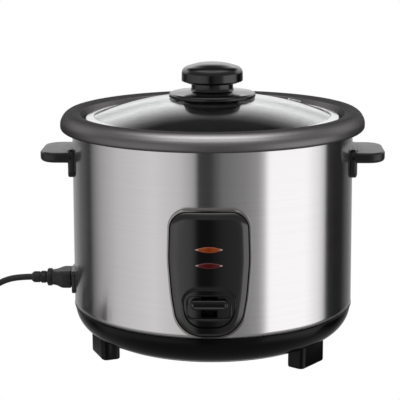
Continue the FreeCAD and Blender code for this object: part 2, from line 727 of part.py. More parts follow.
def handle(name, angle):
    """Side handle: a flat grip on a mounting foot that follows the drum."""
    half = d.handle_half_width
    grip = new_body(name + "_grip")
    plan = new_sketch(grip, "XY_Plane", d.grip_bottom)
    draw_outline(plan, [
        (110, -half), (d.handle_tip, -half, {"round": 15}), (d.handle_tip, half, {"round": 15}), (110, half)])
    slab = pad(grip, plan, d.grip_top - d.grip_bottom)
    doc.recompute()
    rims = [f"Face{i + 1}" for i, face in enumerate(slab.Shape.Faces)
            if abs(face.normalAt(0, 0).z) > 0.9]
    soft = grip.newObject("PartDesign::Fillet", "soft_edges")
    soft.Base = (slab, rims)
    soft.Radius = 1.8
    foot = new_body(name + "_foot")
    side = new_sketch(foot, "YZ_Plane", 100)
    draw_outline(side, [
        (-half, d.handle_foot_bottom, {"round": 7}), (half, d.handle_foot_bottom, {"round": 7}),
        (half, d.handle_foot_top, {"round": 5}), (-half, d.handle_foot_top, {"round": 5})])
    pad(foot, side, 40)
    hugging = common(name + "_hugging", foot,
                     rod(name + "_barrel", d.handle_foot_radius, (0, 0, 140), 50))
    joined = fuse(name + "_joined", [grip, hugging])
    hollowed = cut(name + "_hollowed", joined, shell_cone(name + "_back", 0.15))
    bores = group(name + "_bores", [rod(f"{name}_bore_{y:.0f}", 1.6, (100, y, d.grip_bottom + 4.4), 34,
                                        Vector(1, 0, 0)) for y in (-HANDLE_SCREW_Y, HANDLE_SCREW_Y)])
    piece = keep(cut(name, hollowed, bores), name)
    piece.Placement = Placement(Vector(), Rotation(Vector(0, 0, 1), angle))


def handle_screws():
    """Four screws driven outwards from inside the drum."""
    pieces = []
    for side in (-1, 1):
        out = Vector(side, 0, 0)
        for y in (-HANDLE_SCREW_Y, HANDLE_SCREW_Y):
            tag = f"{'left' if side < 0 else 'right'}_{'front' if y < 0 else 'back'}"
            height = d.grip_bottom + 4.4
            head = rod("head_" + tag, 3.6, (side * 113.9, y, height), 2.2, out)
            shank = rod("shank_" + tag, 1.5, (side * 113.9, y, height), 18, out)
            pieces.append(fuse("handle_screw_" + tag, [head, shank]))
    keep(group("handle_screws", pieces), "handle_screws")


# ---- pot and lid -----------------------------------------------------------------------------------

def inner_pot():
    """Deep pot with a ledge for the lid and a rolled lip that hangs over the drum."""
    body = keep(new_body("inner_pot"), "inner_pot")
    wall = d.pot_wall
    inner = d.pot_radius - wall
    lip_top = d.lip_inner_height + 3.0
    revolve(body, [
        (0, d.pot_bottom), (d.pot_radius, d.pot_bottom, {"round": d.pot_corner}),
        (d.pot_radius, d.ledge_height - wall, {"round": 0.6}),
        (110.8, d.ledge_height - 0.8, {"round": 1.0}), (113.2, d.lip_inner_height - 1.2, {"round": 1.2}),
        (d.lip_radius - wall, lip_top - wall, {"round": 7.1}),
        (d.lip_radius - wall, d.lip_bottom + 0.9, {"round": 1.8}), (124.5, d.lip_bottom + 1.4),
        (124.5, d.lip_bottom), (d.lip_radius, d.lip_bottom - 0.5, {"round": 3.0}),
        (d.lip_radius, lip_top, {"round": 8.5}), (d.lip_inner_radius, d.lip_inner_height, {"round": 0.9}),
        (109.6, d.ledge_height + 0.6, {"round": 1.6}), (inner, d.ledge_height, {"round": 1.4}),
        (inner, d.pot_bottom + wall, {"round": d.pot_corner - wall}), (0, d.pot_bottom + wall)])


def lid_glass():
    """Domed glass with a centre hole and a tilted vent hole."""
    body = keep(new_body("lid_glass"), "lid_glass")
    dome = DRIVING_SIZES["glass_dome"]
    centre = DRIVING_SIZES["glass_top"] - dome

    def height(radius, below=0.0):
        return centre + math.sqrt((dome - below) ** 2 - radius ** 2)

    edge, wall = DRIVING_SIZES["glass_radius"], DRIVING_SIZES["glass_wall"]
    revolve(body, [
        (4.5, height(4.5), {"bow": dome}), (edge, height(edge)), (edge, height(edge, wall), {"bow": wall - dome}),
        (4.5, height(4.5, wall))])
    hole = new_sketch(body, "XY_Plane", vent_place())
    draw_circle(hole, 0, 0, 3.7)
    pocket(body, hole, 12, midplane=True)


def vent_place():
    """Place on the dome, with Z along the glass's normal, where the steam vent sits."""
    dome = DRIVING_SIZES["glass_dome"]
    radius, turn = DRIVING_SIZES["vent_circle"], math.radians(DRIVING_SIZES["vent_angle"])
    x, y = radius * math.sin(turn), -radius * math.cos(turn)
    centre = Vector(0, 0, DRIVING_SIZES["glass_top"] - dome)
    point = Vector(x, y, centre.z + math.sqrt(dome ** 2 - radius ** 2))
    return Placement(point, Rotation(Vector(0, 0, 1), point - centre))


def lid_rim():
    """Stainless band round the glass."""
    body = keep(new_body("lid_rim"), "lid_rim")
    outer = d.lid_radius
    revolve(body, [
        (101.0, 200.95), (101.0, 201.7, {"round": 0.3}), (outer, 200.6, {"round": 1.6}),
        (outer, 196.9, {"round": 0.8}), (105.2, 196.9), (105.2, 200.0)])


def vent_eyelet():
    """Rolled metal eyelet through the glass."""
    body = keep(new_body("vent_eyelet"), "vent_eyelet")
    revolve(body, [
        (2.0, -4.4), (3.4, -4.4), (3.4, 0.15), (6.0, 0.15), (6.0, 1.3, {"round": 0.6}),
        (2.0, 1.3, {"round": 0.6})])
    body.Placement = vent_place()


def knob():
    """Skirt and stem, cap, washer under the glass and the screw that clamps them."""
    skirt = keep(new_body("knob_skirt"), "knob_skirt")
    revolve(skirt, [
        (2.1, d.glass_top + 0.06, {"bow": d.glass_dome}), (35.5, d.glass_top - 2.04),
        (d.skirt_radius, d.glass_top - 1.5, {"round": 0.5}), (d.skirt_radius, d.glass_top + 1.9, {"round": 1.8}),
        (d.stem_radius + 1.0, d.glass_top + 3.2, {"round": 2.0}), (d.stem_radius, d.glass_top + 6),
        (d.stem_radius, d.knob_bottom), (2.1, d.knob_bottom)])

    cap = keep(new_body("knob_cap"), "knob_cap")
    revolve(cap, [
        (0, d.knob_bottom + 0.1), (d.knob_radius - 4, d.knob_bottom + 0.1), (d.knob_radius, d.knob_bottom + 2.2,
                                                                          {"round": 0.8}),
        (d.knob_radius - 0.2, d.knob_bottom + 12.8, {"round": 6.0}), (12, d.knob_top - 0.6),
        (0, d.knob_top)])

    washer = keep(new_body("knob_washer"), "knob_washer")
    top = d.glass_top - d.glass_wall
    revolve(washer, [
        (2.2, top - 0.1), (10, top - 0.25), (25, top - 1.15), (25, top - 2.2), (21.5, top - 5.2, {"round": 1.0}),
        (2.2, top - 5.2)])

    screw_body = keep(new_body("knob_screw"), "knob_screw")
    revolve(screw_body, [
        (0, top - 7.6), (4.0, top - 7.6, {"round": 0.8}), (4.0, top - 5.3), (2.0, top - 5.3),
        (2.0, d.knob_bottom - 3), (0, d.knob_bottom - 3)])


# ---- power inlet and lead --------------------------------------------------------------------------

def side_prism(name, half_width, half_height, corner, near, far):
    """A rounded block on the -X side, from the distance near to the distance far from the axis."""
    body = new_body(name)
    sketch = new_sketch(body, "YZ_Plane", -as_size(far))
    low, high = d.inlet_height - half_height, d.inlet_height + half_height
    draw_outline(sketch, [
        (-half_width, low, {"round": corner}), (half_width, low, {"round": corner}),
        (half_width, high, {"round": corner}), (-half_width, high, {"round": corner})])
    pad(body, sketch, as_size(far) - near)
    return body


PIN_SPOTS = ((-7.0, -2.0), (7.0, -2.0), (0.0, 3.0))
INLET_SCREW_Y = 17.0


def pin_blades(name, grow, near, far):
    """Three upright blades at the pin spots, made larger by a clearance."""
    blades = []
    for number, (y, lift) in enumerate(PIN_SPOTS):
        low = (-as_size(far), y - 1.0 - grow, d.inlet_height + lift - 2.0 - grow)
        high = (-as_size(near), y + 1.0 + grow, d.inlet_height + lift + 2.0 + grow)
        blades.append(box(f"{name}_{number}", low, high))
    return blades


def power_inlet():
    """Inlet with a flange outside the drum, a well for the connector, three pins and two screws."""
    block = side_prism("inlet_block", d.inlet_flange_half_width, d.inlet_flange_half_height, 4, 112,
                       d.inlet_face + 5)
    flange = common("inlet_flange", block, rod("inlet_bend", d.inlet_face, (0, 0, 40), 40))
    trimmed = cut("inlet_trimmed", flange, shell_cone("inlet_back", 0.15))
    barrel = side_prism("inlet_barrel", 12.9, 8.2, 2.7, d.well_floor - 2.5, d.inlet_face - 1)
    joined = fuse("inlet_joined", [trimmed, barrel])
    well = side_prism("inlet_well", d.well_half_width, d.well_half_height, 2, d.well_floor, d.inlet_face + 5)
    hollow = cut("inlet_hollow", joined, well)
    slots = group("inlet_slots", pin_blades("inlet_slot", 0.0, 95, 108))
    bores = group("inlet_bores", [rod(f"inlet_bore_{number}", 1.7, (-130, y, d.inlet_height), 30,
                                      Vector(1, 0, 0))
                                  for number, y in enumerate((-INLET_SCREW_Y, INLET_SCREW_Y))])
    cutters = group("inlet_cutters", [slots, bores])
    keep(cut("inlet_socket", hollow, cutters), "inlet_socket")
    keep(group("inlet_pins", pin_blades("inlet_pin", 0.0, 101.5, 119.5)), "inlet_pins")
    screws = []
    for number, y in enumerate((-INLET_SCREW_Y, INLET_SCREW_Y)):
        head = rod(f"inlet_head_{number}", 2.8, (-d.inlet_face - 0.4, y, d.inlet_height), 1.15, Vector(1, 0, 0))
        shank = rod(f"inlet_shank_{number}", 1.5, (-d.inlet_face - 0.2, y, d.inlet_height), 3.9, Vector(1, 0, 0))
        screws.append(fuse(f"inlet_screw_{number}", [head, shank]))
    keep(group("inlet_screws", screws), "inlet_screws")


def cord_connector():
    """Connector: nose in the well, a body that narrows to a waist, and blind slots for the pins."""
    nose = side_prism("connector_nose", d.well_half_width - 0.5, d.well_half_height - 0.5, 1.6,
                      d.well_floor + 0.6, d.inlet_face + 1)
    head = side_prism("connector_head", d.connector_half_width, d.connector_half_height, 2.8,
                      d.inlet_face + 0.3, 132)
    waist = doc.addObject("Part::Loft", "connector_waist")
    waist.Sections = [waist_section(132.0, 11.5, 7.5), waist_section(138.9, 7.4, 6.0)]
    waist.Solid = True
    slots = group("connector_slots", pin_blades("connector_slot", 0.35, 106, 120.5))
    keep(cut("cord_connector", fuse("connector_solid", [nose, head, waist]), slots), "cord_connector")


def waist_section(distance, half_width, half_height):
    """Rectangle across the connector at a distance from the drum's axis."""
    plate = doc.addObject("Part::Plane", "waist_section")
    plate.Length, plate.Width = 2 * half_height, 2 * half_width
    plate.Placement = Placement(Vector(-distance, -half_width, DRIVING_SIZES["inlet_height"] + half_height),
                                Rotation(Vector(0, 1, 0), 90))
    return plate


def cord_boot():
    """Moulded strain relief: a large ring and two beads, about the lead's exit."""
    body = keep(new_body("cord_boot"), "cord_boot")
    bead = {"round": 1.0}
    revolve(body, [
        (0, 139.0), (6.0, 139.0), (7.7, 141.0, bead), (7.7, 144.0, bead), (4.2, 145.4, {"round": 0.6}),
        (5.35, 146.4, bead), (5.35, 149.8, bead), (4.2, 150.6, {"round": 0.6}), (4.9, 151.6, bead),
        (4.9, 156.4, {"round": 2.0}), (3.3, d.cord_exit), (0, d.cord_exit)])
    body.Placement = Placement(Vector(0, 0, DRIVING_SIZES["inlet_height"]),
                               Rotation(Vector(0, 1, 0), -90))


CORD_ROUTE = [
    (-158.5, 0.0, 57.5), (-171.0, 0.0, 57.2), (-184.0, 0.3, 53.8), (-195.5, 1.0, 46.4), (-205.5, 2.0, 36.2),
    (-215.0, 3.0, 25.8), (-225.5, 3.8, 16.3), (-238.0, 4.6, 9.3), (-251.5, 6.2, 5.0), (-264.5, 10.3, 3.0),
]
TAIL_ROUTE = [
    (-204.25, 36.0, 8.25), (-204.4, 23.0, 7.6), (-206.5, 10.0, 5.4), (-209.5, -3.0, 3.4),
    (-212.0, -16.0, 3.6), (-213.0, -28.5, 6.6), (-213.0, -38.0, 9.5),
]


def rounded_path(points, name):
    """Straight runs joined by tangent arcs as large as the runs allow; prints each arc's radius."""
    places = [Vector(*point) for point in points]
    edges = []
    start = places[0]
    for before, corner, after in zip(places, places[1:], places[2:]):
        back, ahead = (before - corner), (after - corner)
        shorter = min(back.Length, ahead.Length)
        back.normalize()
        ahead.normalize()
        turn = math.pi - back.getAngle(ahead)
        reach = 0.45 * shorter
        radius = reach / math.tan(turn / 2)
        print(f"{name}: arc radius {radius:.1f} mm")
        leave, join = corner + back * reach, corner + ahead * reach
        bisector = (back + ahead).normalize()
        middle = corner + bisector * (radius / math.cos(turn / 2) - radius)
        edges.append(Part.LineSegment(start, leave).toShape())
        edges.append(Part.Arc(leave, middle, join).toShape())
        start = join
    edges.append(Part.LineSegment(start, places[-1]).toShape())
    return Part.Wire(edges)


def tube(name, points, radius):
    """A round tube along a route; its volume is compared with section times length."""
    path = rounded_path(points, name)
    first = path.Edges[0]
    ring = Part.Circle(first.valueAt(first.FirstParameter), first.tangentAt(first.FirstParameter), radius)
    solid = path.makePipeShell([Part.Wire(ring.toShape())], True, False, 2)
    wanted = math.pi * radius ** 2 * path.Length
    print(f"{name}: path {path.Length:.1f} mm, volume ratio {solid.Volume / wanted:.4f}")
    thing = doc.addObject("Part::Feature", name)
    thing.Shape = solid
    return thing


def power_cord():
    """The lead: the stretch down to the floor, the put-away coil with its tie, the tail and the plug."""
    radius = DRIVING_SIZES["cord_diameter"] / 2
    keep(tube("cord_tube", CORD_ROUTE, radius), "cord_tube")
    keep(tube("cord_tail", TAIL_ROUTE, radius), "cord_tail")

    coil = keep(new_body("cord_coil"), "cord_coil")
    inner, outer = d.coil_turn_radius - d.cord_diameter, d.coil_turn_radius + d.cord_diameter
    top = d.cord_diameter * 2
    revolve(coil, [
        (inner, 0.0, {"round": 2}), (outer, 0.0, {"round": 2}), (outer, top, {"round": 2}),
        (inner, top, {"round": 2})])
    coil.Placement = Placement(Vector(DRIVING_SIZES["coil_x"], DRIVING_SIZES["coil_y"], 0), Rotation())
    tie = keep(new_body("cord_tie"), "cord_tie")
    loop = new_sketch(tie, "XZ_Plane")
    draw_outline(loop, [
        (inner - 1.2, 0.05), (outer + 1.2, 0.05), (outer + 1.2, top + 1.2), (inner - 1.2, top + 1.2)])
    draw_outline(loop, [(inner, 0.3), (outer, 0.3), (outer, top + 0.05), (inner, top + 0.05)])
    pad(tie, loop, 5, midplane=True)
    tie.Placement = Placement(Vector(DRIVING_SIZES["coil_x"], DRIVING_SIZES["coil_y"], 0),
                              Rotation(Vector(0, 0, 1), 90))


def mains_plug():
    """Plain two-pin plug that lies on the floor, its pins pointing forward."""
    block = keep(new_body("plug_body"), "plug_body")
    side_view = new_sketch(block, "YZ_Plane", -213)
    draw_outline(side_view, [
        (-38, 6.0), (-48, 3.5), (-52, 0.1, {"round": 1.5}), (-74, 0.1, {"round": 1.0}),
        (-74, 18.7, {"round": 1.0}), (-52, 18.7, {"round": 3}), (-48, 14.5), (-38, 13.0)])
    pad(block, side_view, 24, midplane=True)
    pins = [rod(f"plug_pin_{side}", 2.0, (-213 + side, -74, 9.4), 18, Vector(0, -1, 0)) for side in (-7, 7)]
    keep(group("plug_pins", pins), "plug_pins")


def internal_wires():
    """Insulated wires from the inlet to the element, the fuse and the microswitch."""
    runs = {
        "live_wire": [(-101.4, -7, 55.5), (-92, -8, 47), (-82, -12, 39), (-70, -17, 35), (-56.5, -18.8, 34)],
        "neutral_wire": [(-101.4, 7, 55.5), (-92, 8, 46), (-82, 11, 38), (-70, 16, 35), (-56.5, 18.8, 34)],
        "switch_wire": [(-30, -40, 20), (-24, -52, 21), (-18, -63, 20), (-12, -72, 21), (-5.0, -77.5, 21)],
    }
    wires = [tube(name, points, 1.2) for name, points in runs.items()]
    keep(group("internal_wires", wires), "internal_wires")


# ---- whole object ----------------------------------------------------------------------------------

def build():
    fill_sheet()
    outer_shell()
    inner_shield()
    base_cover()
    feet()
    fasteners()
    heating_plate()
    heating_element()
    plate_posts()
    thermostat()
    small_controls()
    cook_lever()
    lever_mounting()
    switch_key()
    control_panel()
    panel_trim()
    lenses()
    lamps()
    handle("handle_right", 0)
    handle("handle_left", 180)
    handle_screws()
    inner_pot()
    lid_glass()
    lid_rim()
    vent_eyelet()
    knob()
    power_inlet()
    cord_connector()
    cord_boot()
    power_cord()
    mains_plug()
    internal_wires()
    doc.recompute()


def check_and_export():
    """Stop on a failed feature or a bad shape, then write one STEP file per sub-part."""
    for thing in doc.Objects:
        if "Invalid" in thing.State or "Error" in thing.State:
            raise RuntimeError(f"{thing.Name} failed: {thing.State}")
    os.makedirs("parts", exist_ok=True)
    for node in kept_nodes:
        shape = node.Shape
        if shape.isNull() or not shape.isValid() or not shape.Solids:
            raise RuntimeError(f"{node.Label} has no valid solid")
        shape.exportStep(f"parts/{node.Label}.step")
    print(len(kept_nodes), "sub-parts written")


build()
check_and_export()
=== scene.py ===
import json
import math

import bmesh
import bpy
import numpy as np
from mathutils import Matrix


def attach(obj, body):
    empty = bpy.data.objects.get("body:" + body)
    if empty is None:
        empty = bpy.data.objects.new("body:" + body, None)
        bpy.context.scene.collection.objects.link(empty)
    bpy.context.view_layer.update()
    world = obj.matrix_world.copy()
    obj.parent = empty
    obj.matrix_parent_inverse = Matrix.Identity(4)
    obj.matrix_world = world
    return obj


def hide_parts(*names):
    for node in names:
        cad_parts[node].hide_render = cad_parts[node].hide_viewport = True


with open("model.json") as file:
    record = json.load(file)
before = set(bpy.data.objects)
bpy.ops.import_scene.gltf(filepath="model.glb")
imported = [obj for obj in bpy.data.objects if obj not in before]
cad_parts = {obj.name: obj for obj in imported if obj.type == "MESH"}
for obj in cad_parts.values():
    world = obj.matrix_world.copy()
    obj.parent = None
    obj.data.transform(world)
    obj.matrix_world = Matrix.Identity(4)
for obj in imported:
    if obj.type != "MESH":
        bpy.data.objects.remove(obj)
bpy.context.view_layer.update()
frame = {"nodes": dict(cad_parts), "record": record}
cadNodes = frame["nodes"]
mm = 0.001


cameraView = {
    "place": (0.0256, -1.1290, 0.3736),
    "turn": (77.669, 0.253, 1.792),
    "lens": 120.65,
}


def makeCamera(view):
    data = bpy.data.cameras.new("frontCamera")
    data.lens = view["lens"]
    data.clip_start = 0.01
    camera = bpy.data.objects.new("frontCamera", data)
    camera.location = view["place"]
    camera.rotation_euler = [math.radians(angle) for angle in view["turn"]]
    bpy.context.scene.collection.objects.link(camera)
    bpy.context.scene.camera = camera
    bpy.context.scene.view_settings.view_transform = "Standard"


makeCamera(cameraView)
print("camera set")


def link(piece):
    bpy.context.scene.collection.objects.link(piece)
    return piece


def surfaceMesh(name, grid, closeRows=False, keep=None):
    # point (i, j) of the grid is joined to its neighbours (i+1, j) and (i, j+1) by one four-sided face
    rows, columns = grid.shape[:2]
    i = np.arange(rows if closeRows else rows - 1)[:, None]
    j = np.arange(columns)[None, :]
    nextI, nextJ = (i + 1) % rows, (j + 1) % columns
    row, nextRow = i * columns, nextI * columns
    faces = np.stack([row + j, nextRow + j, nextRow + nextJ, row + nextJ], -1).reshape(-1, 4)
    points = grid.reshape(-1, 3)
    if keep is not None:
        faces = faces[keep(points[faces].mean(1))]
    mesh = bpy.data.meshes.new(name)
    mesh.from_pydata(points.tolist(), [], faces.tolist())
    weldMesh(mesh)
    return mesh


def weldMesh(mesh):
    # merges doubled points at poles and seams, drops empty faces and turns every face outwards
    gap = 1e-7
    work = bmesh.new()
    work.from_mesh(mesh)
    bmesh.ops.remove_doubles(work, verts=work.verts, dist=gap)
    bmesh.ops.dissolve_degenerate(work, edges=work.edges, dist=gap)
    loose = [vert for vert in work.verts if not vert.link_faces]
    bmesh.ops.delete(work, geom=loose, context="VERTS")
    bmesh.ops.recalc_face_normals(work, faces=work.faces)
    work.to_mesh(mesh)
    work.free()


def addPiece(name, mesh, body, slot, replaced, sharp=35.0, finish=None):
    # a mesh made a piece of its body in place of its CAD nodes; the finish is the slot's own unless named
    mesh.polygons.foreach_set("use_smooth", np.ones(len(mesh.polygons), bool))
    mesh.set_sharp_from_angle(angle=math.radians(sharp))
    piece = link(bpy.data.objects.new(name, mesh))
    mesh.materials.append(finishes[finish or slot])
    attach(piece, body)
    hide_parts(*replaced)
    return piece


def roundedLine(corners, closed=False, steps=7):
    # corners are (x, y) or (x, y, radius): a corner with a radius becomes the arc tangent to its two edges
    places = np.array([corner[:2] for corner in corners], float)
    radii = [corner[2] if len(corner) > 2 else 0.0 for corner in corners]
    count = len(places)
    line = []
    for k in range(count):
        atEnd = not closed and k in (0, count - 1)
        if radii[k] <= 0 or atEnd:
            line.append(places[k][None])
            continue
        toBack = places[k - 1] - places[k]
        toNext = places[(k + 1) % count] - places[k]
        toBack /= np.linalg.norm(toBack)
        toNext /= np.linalg.norm(toNext)
        half = math.acos(np.clip(toBack @ toNext, -1, 1)) / 2
        reach = radii[k] / math.tan(half)
        towards = (toBack + toNext) / np.linalg.norm(toBack + toNext)
        centre = places[k] + towards * radii[k] / math.sin(half)
        start, end = places[k] + toBack * reach - centre, places[k] + toNext * reach - centre
        sweep = math.pi - 2 * half
        share = np.linspace(0, 1, max(steps, 2))[:, None]
        arc = (start * np.sin((1 - share) * sweep) + end * np.sin(share * sweep)) / math.sin(sweep)
        line.append(centre + arc)
    return np.concatenate(line)


def arcLine(start, end, radius, steps=24):
    # the arc of this radius from start to end; it bows to the left of the way, or right if negative
    start, end = np.array(start, float), np.array(end, float)
    chord = end - start
    half = np.linalg.norm(chord) / 2
    left = np.array([-chord[1], chord[0]]) / (2 * half)
    centre = (start + end) / 2 - left * math.copysign(math.sqrt(radius ** 2 - half ** 2), radius)
    a, b = start - centre, end - centre
    sweep = math.acos(np.clip(a @ b / radius ** 2, -1, 1))
    share = np.linspace(0, 1, steps)[:, None]
    return centre + (a * np.sin((1 - share) * sweep) + b * np.sin(share * sweep)) / math.sin(sweep)


def turnedGrid(profile, angles):
    # a profile of (radius, height) in mm turned about +Z: x = r sin a, y = -r cos a, z = h
    radius, height = profile[:, 0][:, None], profile[:, 1][:, None]
    angle = angles[None, :]
    return np.stack([radius * np.sin(angle), -radius * np.cos(angle), height + 0 * angle], -1) * mm


def turnedMesh(name, profile, segments=192):
    # the profile turned full circle, its last point joined to its first
    angles = np.linspace(0, 2 * math.pi, segments, endpoint=False)
    return surfaceMesh(name, turnedGrid(np.asarray(profile), angles), closeRows=True)


def loftMesh(name, loops):
    # closed loops of equal length joined one to the next; each end is closed by shrinking its loop to a point
    first, last = [np.repeat(loops[k].mean(0)[None], len(loops[k]), 0) for k in (0, -1)]
    return surfaceMesh(name, np.stack([first, *loops, last]) * mm)


def evenLoop(loop, count):
    # the closed loop walked at equal steps
    ring = np.vstack([loop, loop[:1]])
    walked = np.concatenate([[0], np.cumsum(np.linalg.norm(np.diff(ring, axis=0), axis=1))])
    at = np.linspace(0, walked[-1], count, endpoint=False)
    return np.stack([np.interp(at, walked, ring[:, k]) for k in range(ring.shape[1])], -1)


def joinMeshes(name, meshes):
    # separate shells kept as they are in one mesh
    work = bmesh.new()
    for mesh in meshes:
        work.from_mesh(mesh)
        bpy.data.meshes.remove(mesh)
    joined = bpy.data.meshes.new(name)
    work.to_mesh(joined)
    work.free()
    return joined


def mathsSign(operation):
    # the method behind one arithmetic sign
    return lambda wire, *others: wire.maths(operation, *others)


class Wire:
    # one socket of a finish; arithmetic on it adds Math nodes
    def __init__(self, finish, socket):
        self.finish, self.socket = finish, socket

    def maths(self, operation, *others):
        return self.finish.maths(operation, self, *others)

    __add__ = __radd__ = mathsSign("ADD")
    __sub__ = mathsSign("SUBTRACT")
    __mul__ = __rmul__ = mathsSign("MULTIPLY")
    __truediv__ = mathsSign("DIVIDE")
    __pow__ = mathsSign("POWER")
    __abs__ = mathsSign("ABSOLUTE")


class Tree:
    # a node tree being filled: nodes come from add, arithmetic from the wires it returns
    def __init__(self, tree):
        self.tree = tree
        tree.nodes.clear()

    def add(self, kind, settings, sockets, output=0):
        node = self.tree.nodes.new("ShaderNode" + kind)
        for setting, value in settings.items():
            if setting == "stops":
                self.setStops(node.color_ramp, value)
            else:
                setattr(node, setting, value)
        for socket, value in sockets.items():
            self.feed(node.inputs[socket], value)
        return Wire(self, node.outputs[output]) if len(node.outputs) else node

    def setStops(self, ramp, stops):
        while len(ramp.elements) < len(stops):
            ramp.elements.new(1.0)
        for element, (place, value) in zip(ramp.elements, stops):
            element.position = place
            element.color = value if hasattr(value, "__len__") else (value, value, value, 1)

    def feed(self, socket, value):
        if isinstance(value, Wire):
            self.tree.links.new(value.socket, socket)
        else:
            socket.default_value = value

    def maths(self, operation, *values):
        return self.add("Math", {"operation": operation}, dict(enumerate(values)))

    def place(self, kind="Object"):
        return self.add("TexCoord", {}, {}, kind)

    def axes(self, where):
        split = self.add("SeparateXYZ", {}, {0: where}).socket.node
        return [Wire(self, output) for output in split.outputs]

    def stretched(self, scale):
        return self.add("Mapping", {}, {"Vector": self.place(), "Scale": scale})

    def noise(self, where, scale, detail=3.0, roughness=0.55):
        return self.add("TexNoise", {}, {
            "Vector": where, "Scale": scale, "Detail": detail, "Roughness": roughness})

    def ramp(self, share, stops):
        return self.add("ValToRGB", {"stops": stops}, {0: share})

    def between(self, share, low, high):
        # low where share is 0, high where it is 1
        return low + share * (high - low)

    def blend(self, share, first, second):
        return self.add("Mix", {"data_type": "RGBA"}, {0: share, 6: first, 7: second}, 2)


class Finish(Tree):
    # a material being made: a Principled shader and the nodes that feed it
    def __init__(self, name, **constants):
        self.material = bpy.data.materials.new(name)
        self.material.use_nodes = True
        super().__init__(self.material.node_tree)
        self.shader = self.tree.nodes.new("ShaderNodeBsdfPrincipled")
        output = self.tree.nodes.new("ShaderNodeOutputMaterial")
        self.tree.links.new(self.shader.outputs[0], output.inputs[0])
        for socket, value in constants.items():
            self.shader.inputs[socket.replace("_", " ")].default_value = value

    def into(self, socket, value):
        self.feed(self.shader.inputs[socket], value)

    def bump(self, height, strength, distance):
        self.into("Normal", self.add("Bump", {}, {
            "Height": height, "Strength": strength, "Distance": distance}))

    def skin(self, look, tone, gloss, height, depth):
        # colour from dark to light by tone, roughness from smooth to rough by gloss, and a bump by height
        self.into("Base Color", self.blend(tone, look["dark"], look["light"]))
        self.into("Roughness", self.between(gloss, look["smooth"], look["rough"]))
        self.bump(height, look["bump"], depth)
        return self.material


def sheetFinish(name, look):
    # sheet brushed round the axis: streaks long round it and fine up it, over slow patches
    finish = Finish(name, Metallic=1.0, Anisotropic=look["anisotropy"], Anisotropic_Rotation=0.25)
    fine = finish.noise(finish.stretched((9.0, 9.0, look["fineRows"])), 1.0, 3.0, 0.7)
    coarse = finish.noise(finish.stretched((4.0, 4.0, look["coarseRows"])), 1.0, 2.0, 0.6)
    patches = finish.noise(finish.place(), look["patchScale"], 2.0)
    share = fine * 0.45 + coarse * 0.35 + patches * 0.2
    return finish.skin(look, share, share, fine * 0.6 + coarse * 0.4, 0.06 * mm)


def plasticFinish(name, look):
    # moulded plastic: a fine skin grain, faint handling marks in the gloss and a slow change of tone
    finish = Finish(name, IOR=look.get("index", 1.5))
    where = finish.place()
    grain = finish.noise(where, look["grainScale"], 3.0, 0.6)
    marks = finish.noise(finish.stretched((1.0, 1.0, 0.25)), look["markScale"], 5.0, 0.65)
    slow = finish.noise(where, look["slowScale"], 2.0)
    return finish.skin(look, slow, marks * 0.7 + grain * 0.3, grain * 0.8 + marks * 0.2, 0.1 * mm)


def turnedFinish(name, look):
    # turned or drawn metal: fine rings about the axis over a cast grain
    finish = Finish(name, Metallic=1.0)
    x, y = finish.axes(finish.place())[:2]
    radius = (x * x + y * y) ** 0.5
    rings = (radius * (2 * math.pi * look["ringsPerMetre"])).maths("SINE")
    grain = finish.noise(finish.place(), look["grainScale"], 4.0)
    share = rings * 0.15 + grain * 0.85
    return finish.skin(look, share, grain, share, 0.1 * mm)


def coatingFinish(name, look):
    # dark hard coating on spun metal: a satin sheen with a fine speckle and faint spinning rings
    finish = Finish(name, Metallic=look["metal"], Specular_Tint=look["edgeTint"])
    x, y, z = finish.axes(finish.place())
    radius = (x * x + y * y) ** 0.5
    path = finish.add("CombineXYZ", {}, {0: radius * look["ringScale"], 1: z * look["ringScale"]})
    rings = finish.noise(path, 1.0, 2.0)
    speckle = finish.noise(finish.place(), look["speckleScale"], 2.0, 0.8)
    share = speckle * 0.7 + rings * 0.3
    return finish.skin(look, share, share, share, 0.06 * mm)


def glassFinish(name, look):
    # clear pressed glass with faint wipe marks in its polish
    finish = Finish(name, IOR=1.5, Transmission_Weight=1.0, Base_Color=look["tint"])
    wipe = finish.noise(finish.stretched((1.0, 3.0, 1.0)), look["wipeScale"], 4.0)
    finish.into("Roughness", finish.between(wipe, look["smooth"], look["rough"]))
    finish.bump(wipe, 0.03, 0.0002)
    return finish.material


def lensFinish(name, look):
    # moulded lamp lens: deep colour in the middle, paler towards its two points, fine ribs inside
    finish = Finish(name, IOR=1.49, Coat_Weight=0.5, Coat_Roughness=0.06, Emission_Strength=look["glow"])
    x = finish.axes(finish.place())[0]
    tone = finish.ramp(abs(x) / look["halfWidth"], [
        (0.0, look["middle"]), (0.4, look["body"]), (0.72, look["body"]), (0.92, look["tip"])])
    ribs = (x * (2 * math.pi * look["ribsPerMetre"])).maths("SINE")
    finish.into("Base Color", tone)
    finish.into("Emission Color", tone)
    finish.into("Roughness", finish.between(ribs * 0.5 + 0.5, 0.12, 0.2))
    finish.bump(ribs, 0.1, 0.0001)
    return finish.material


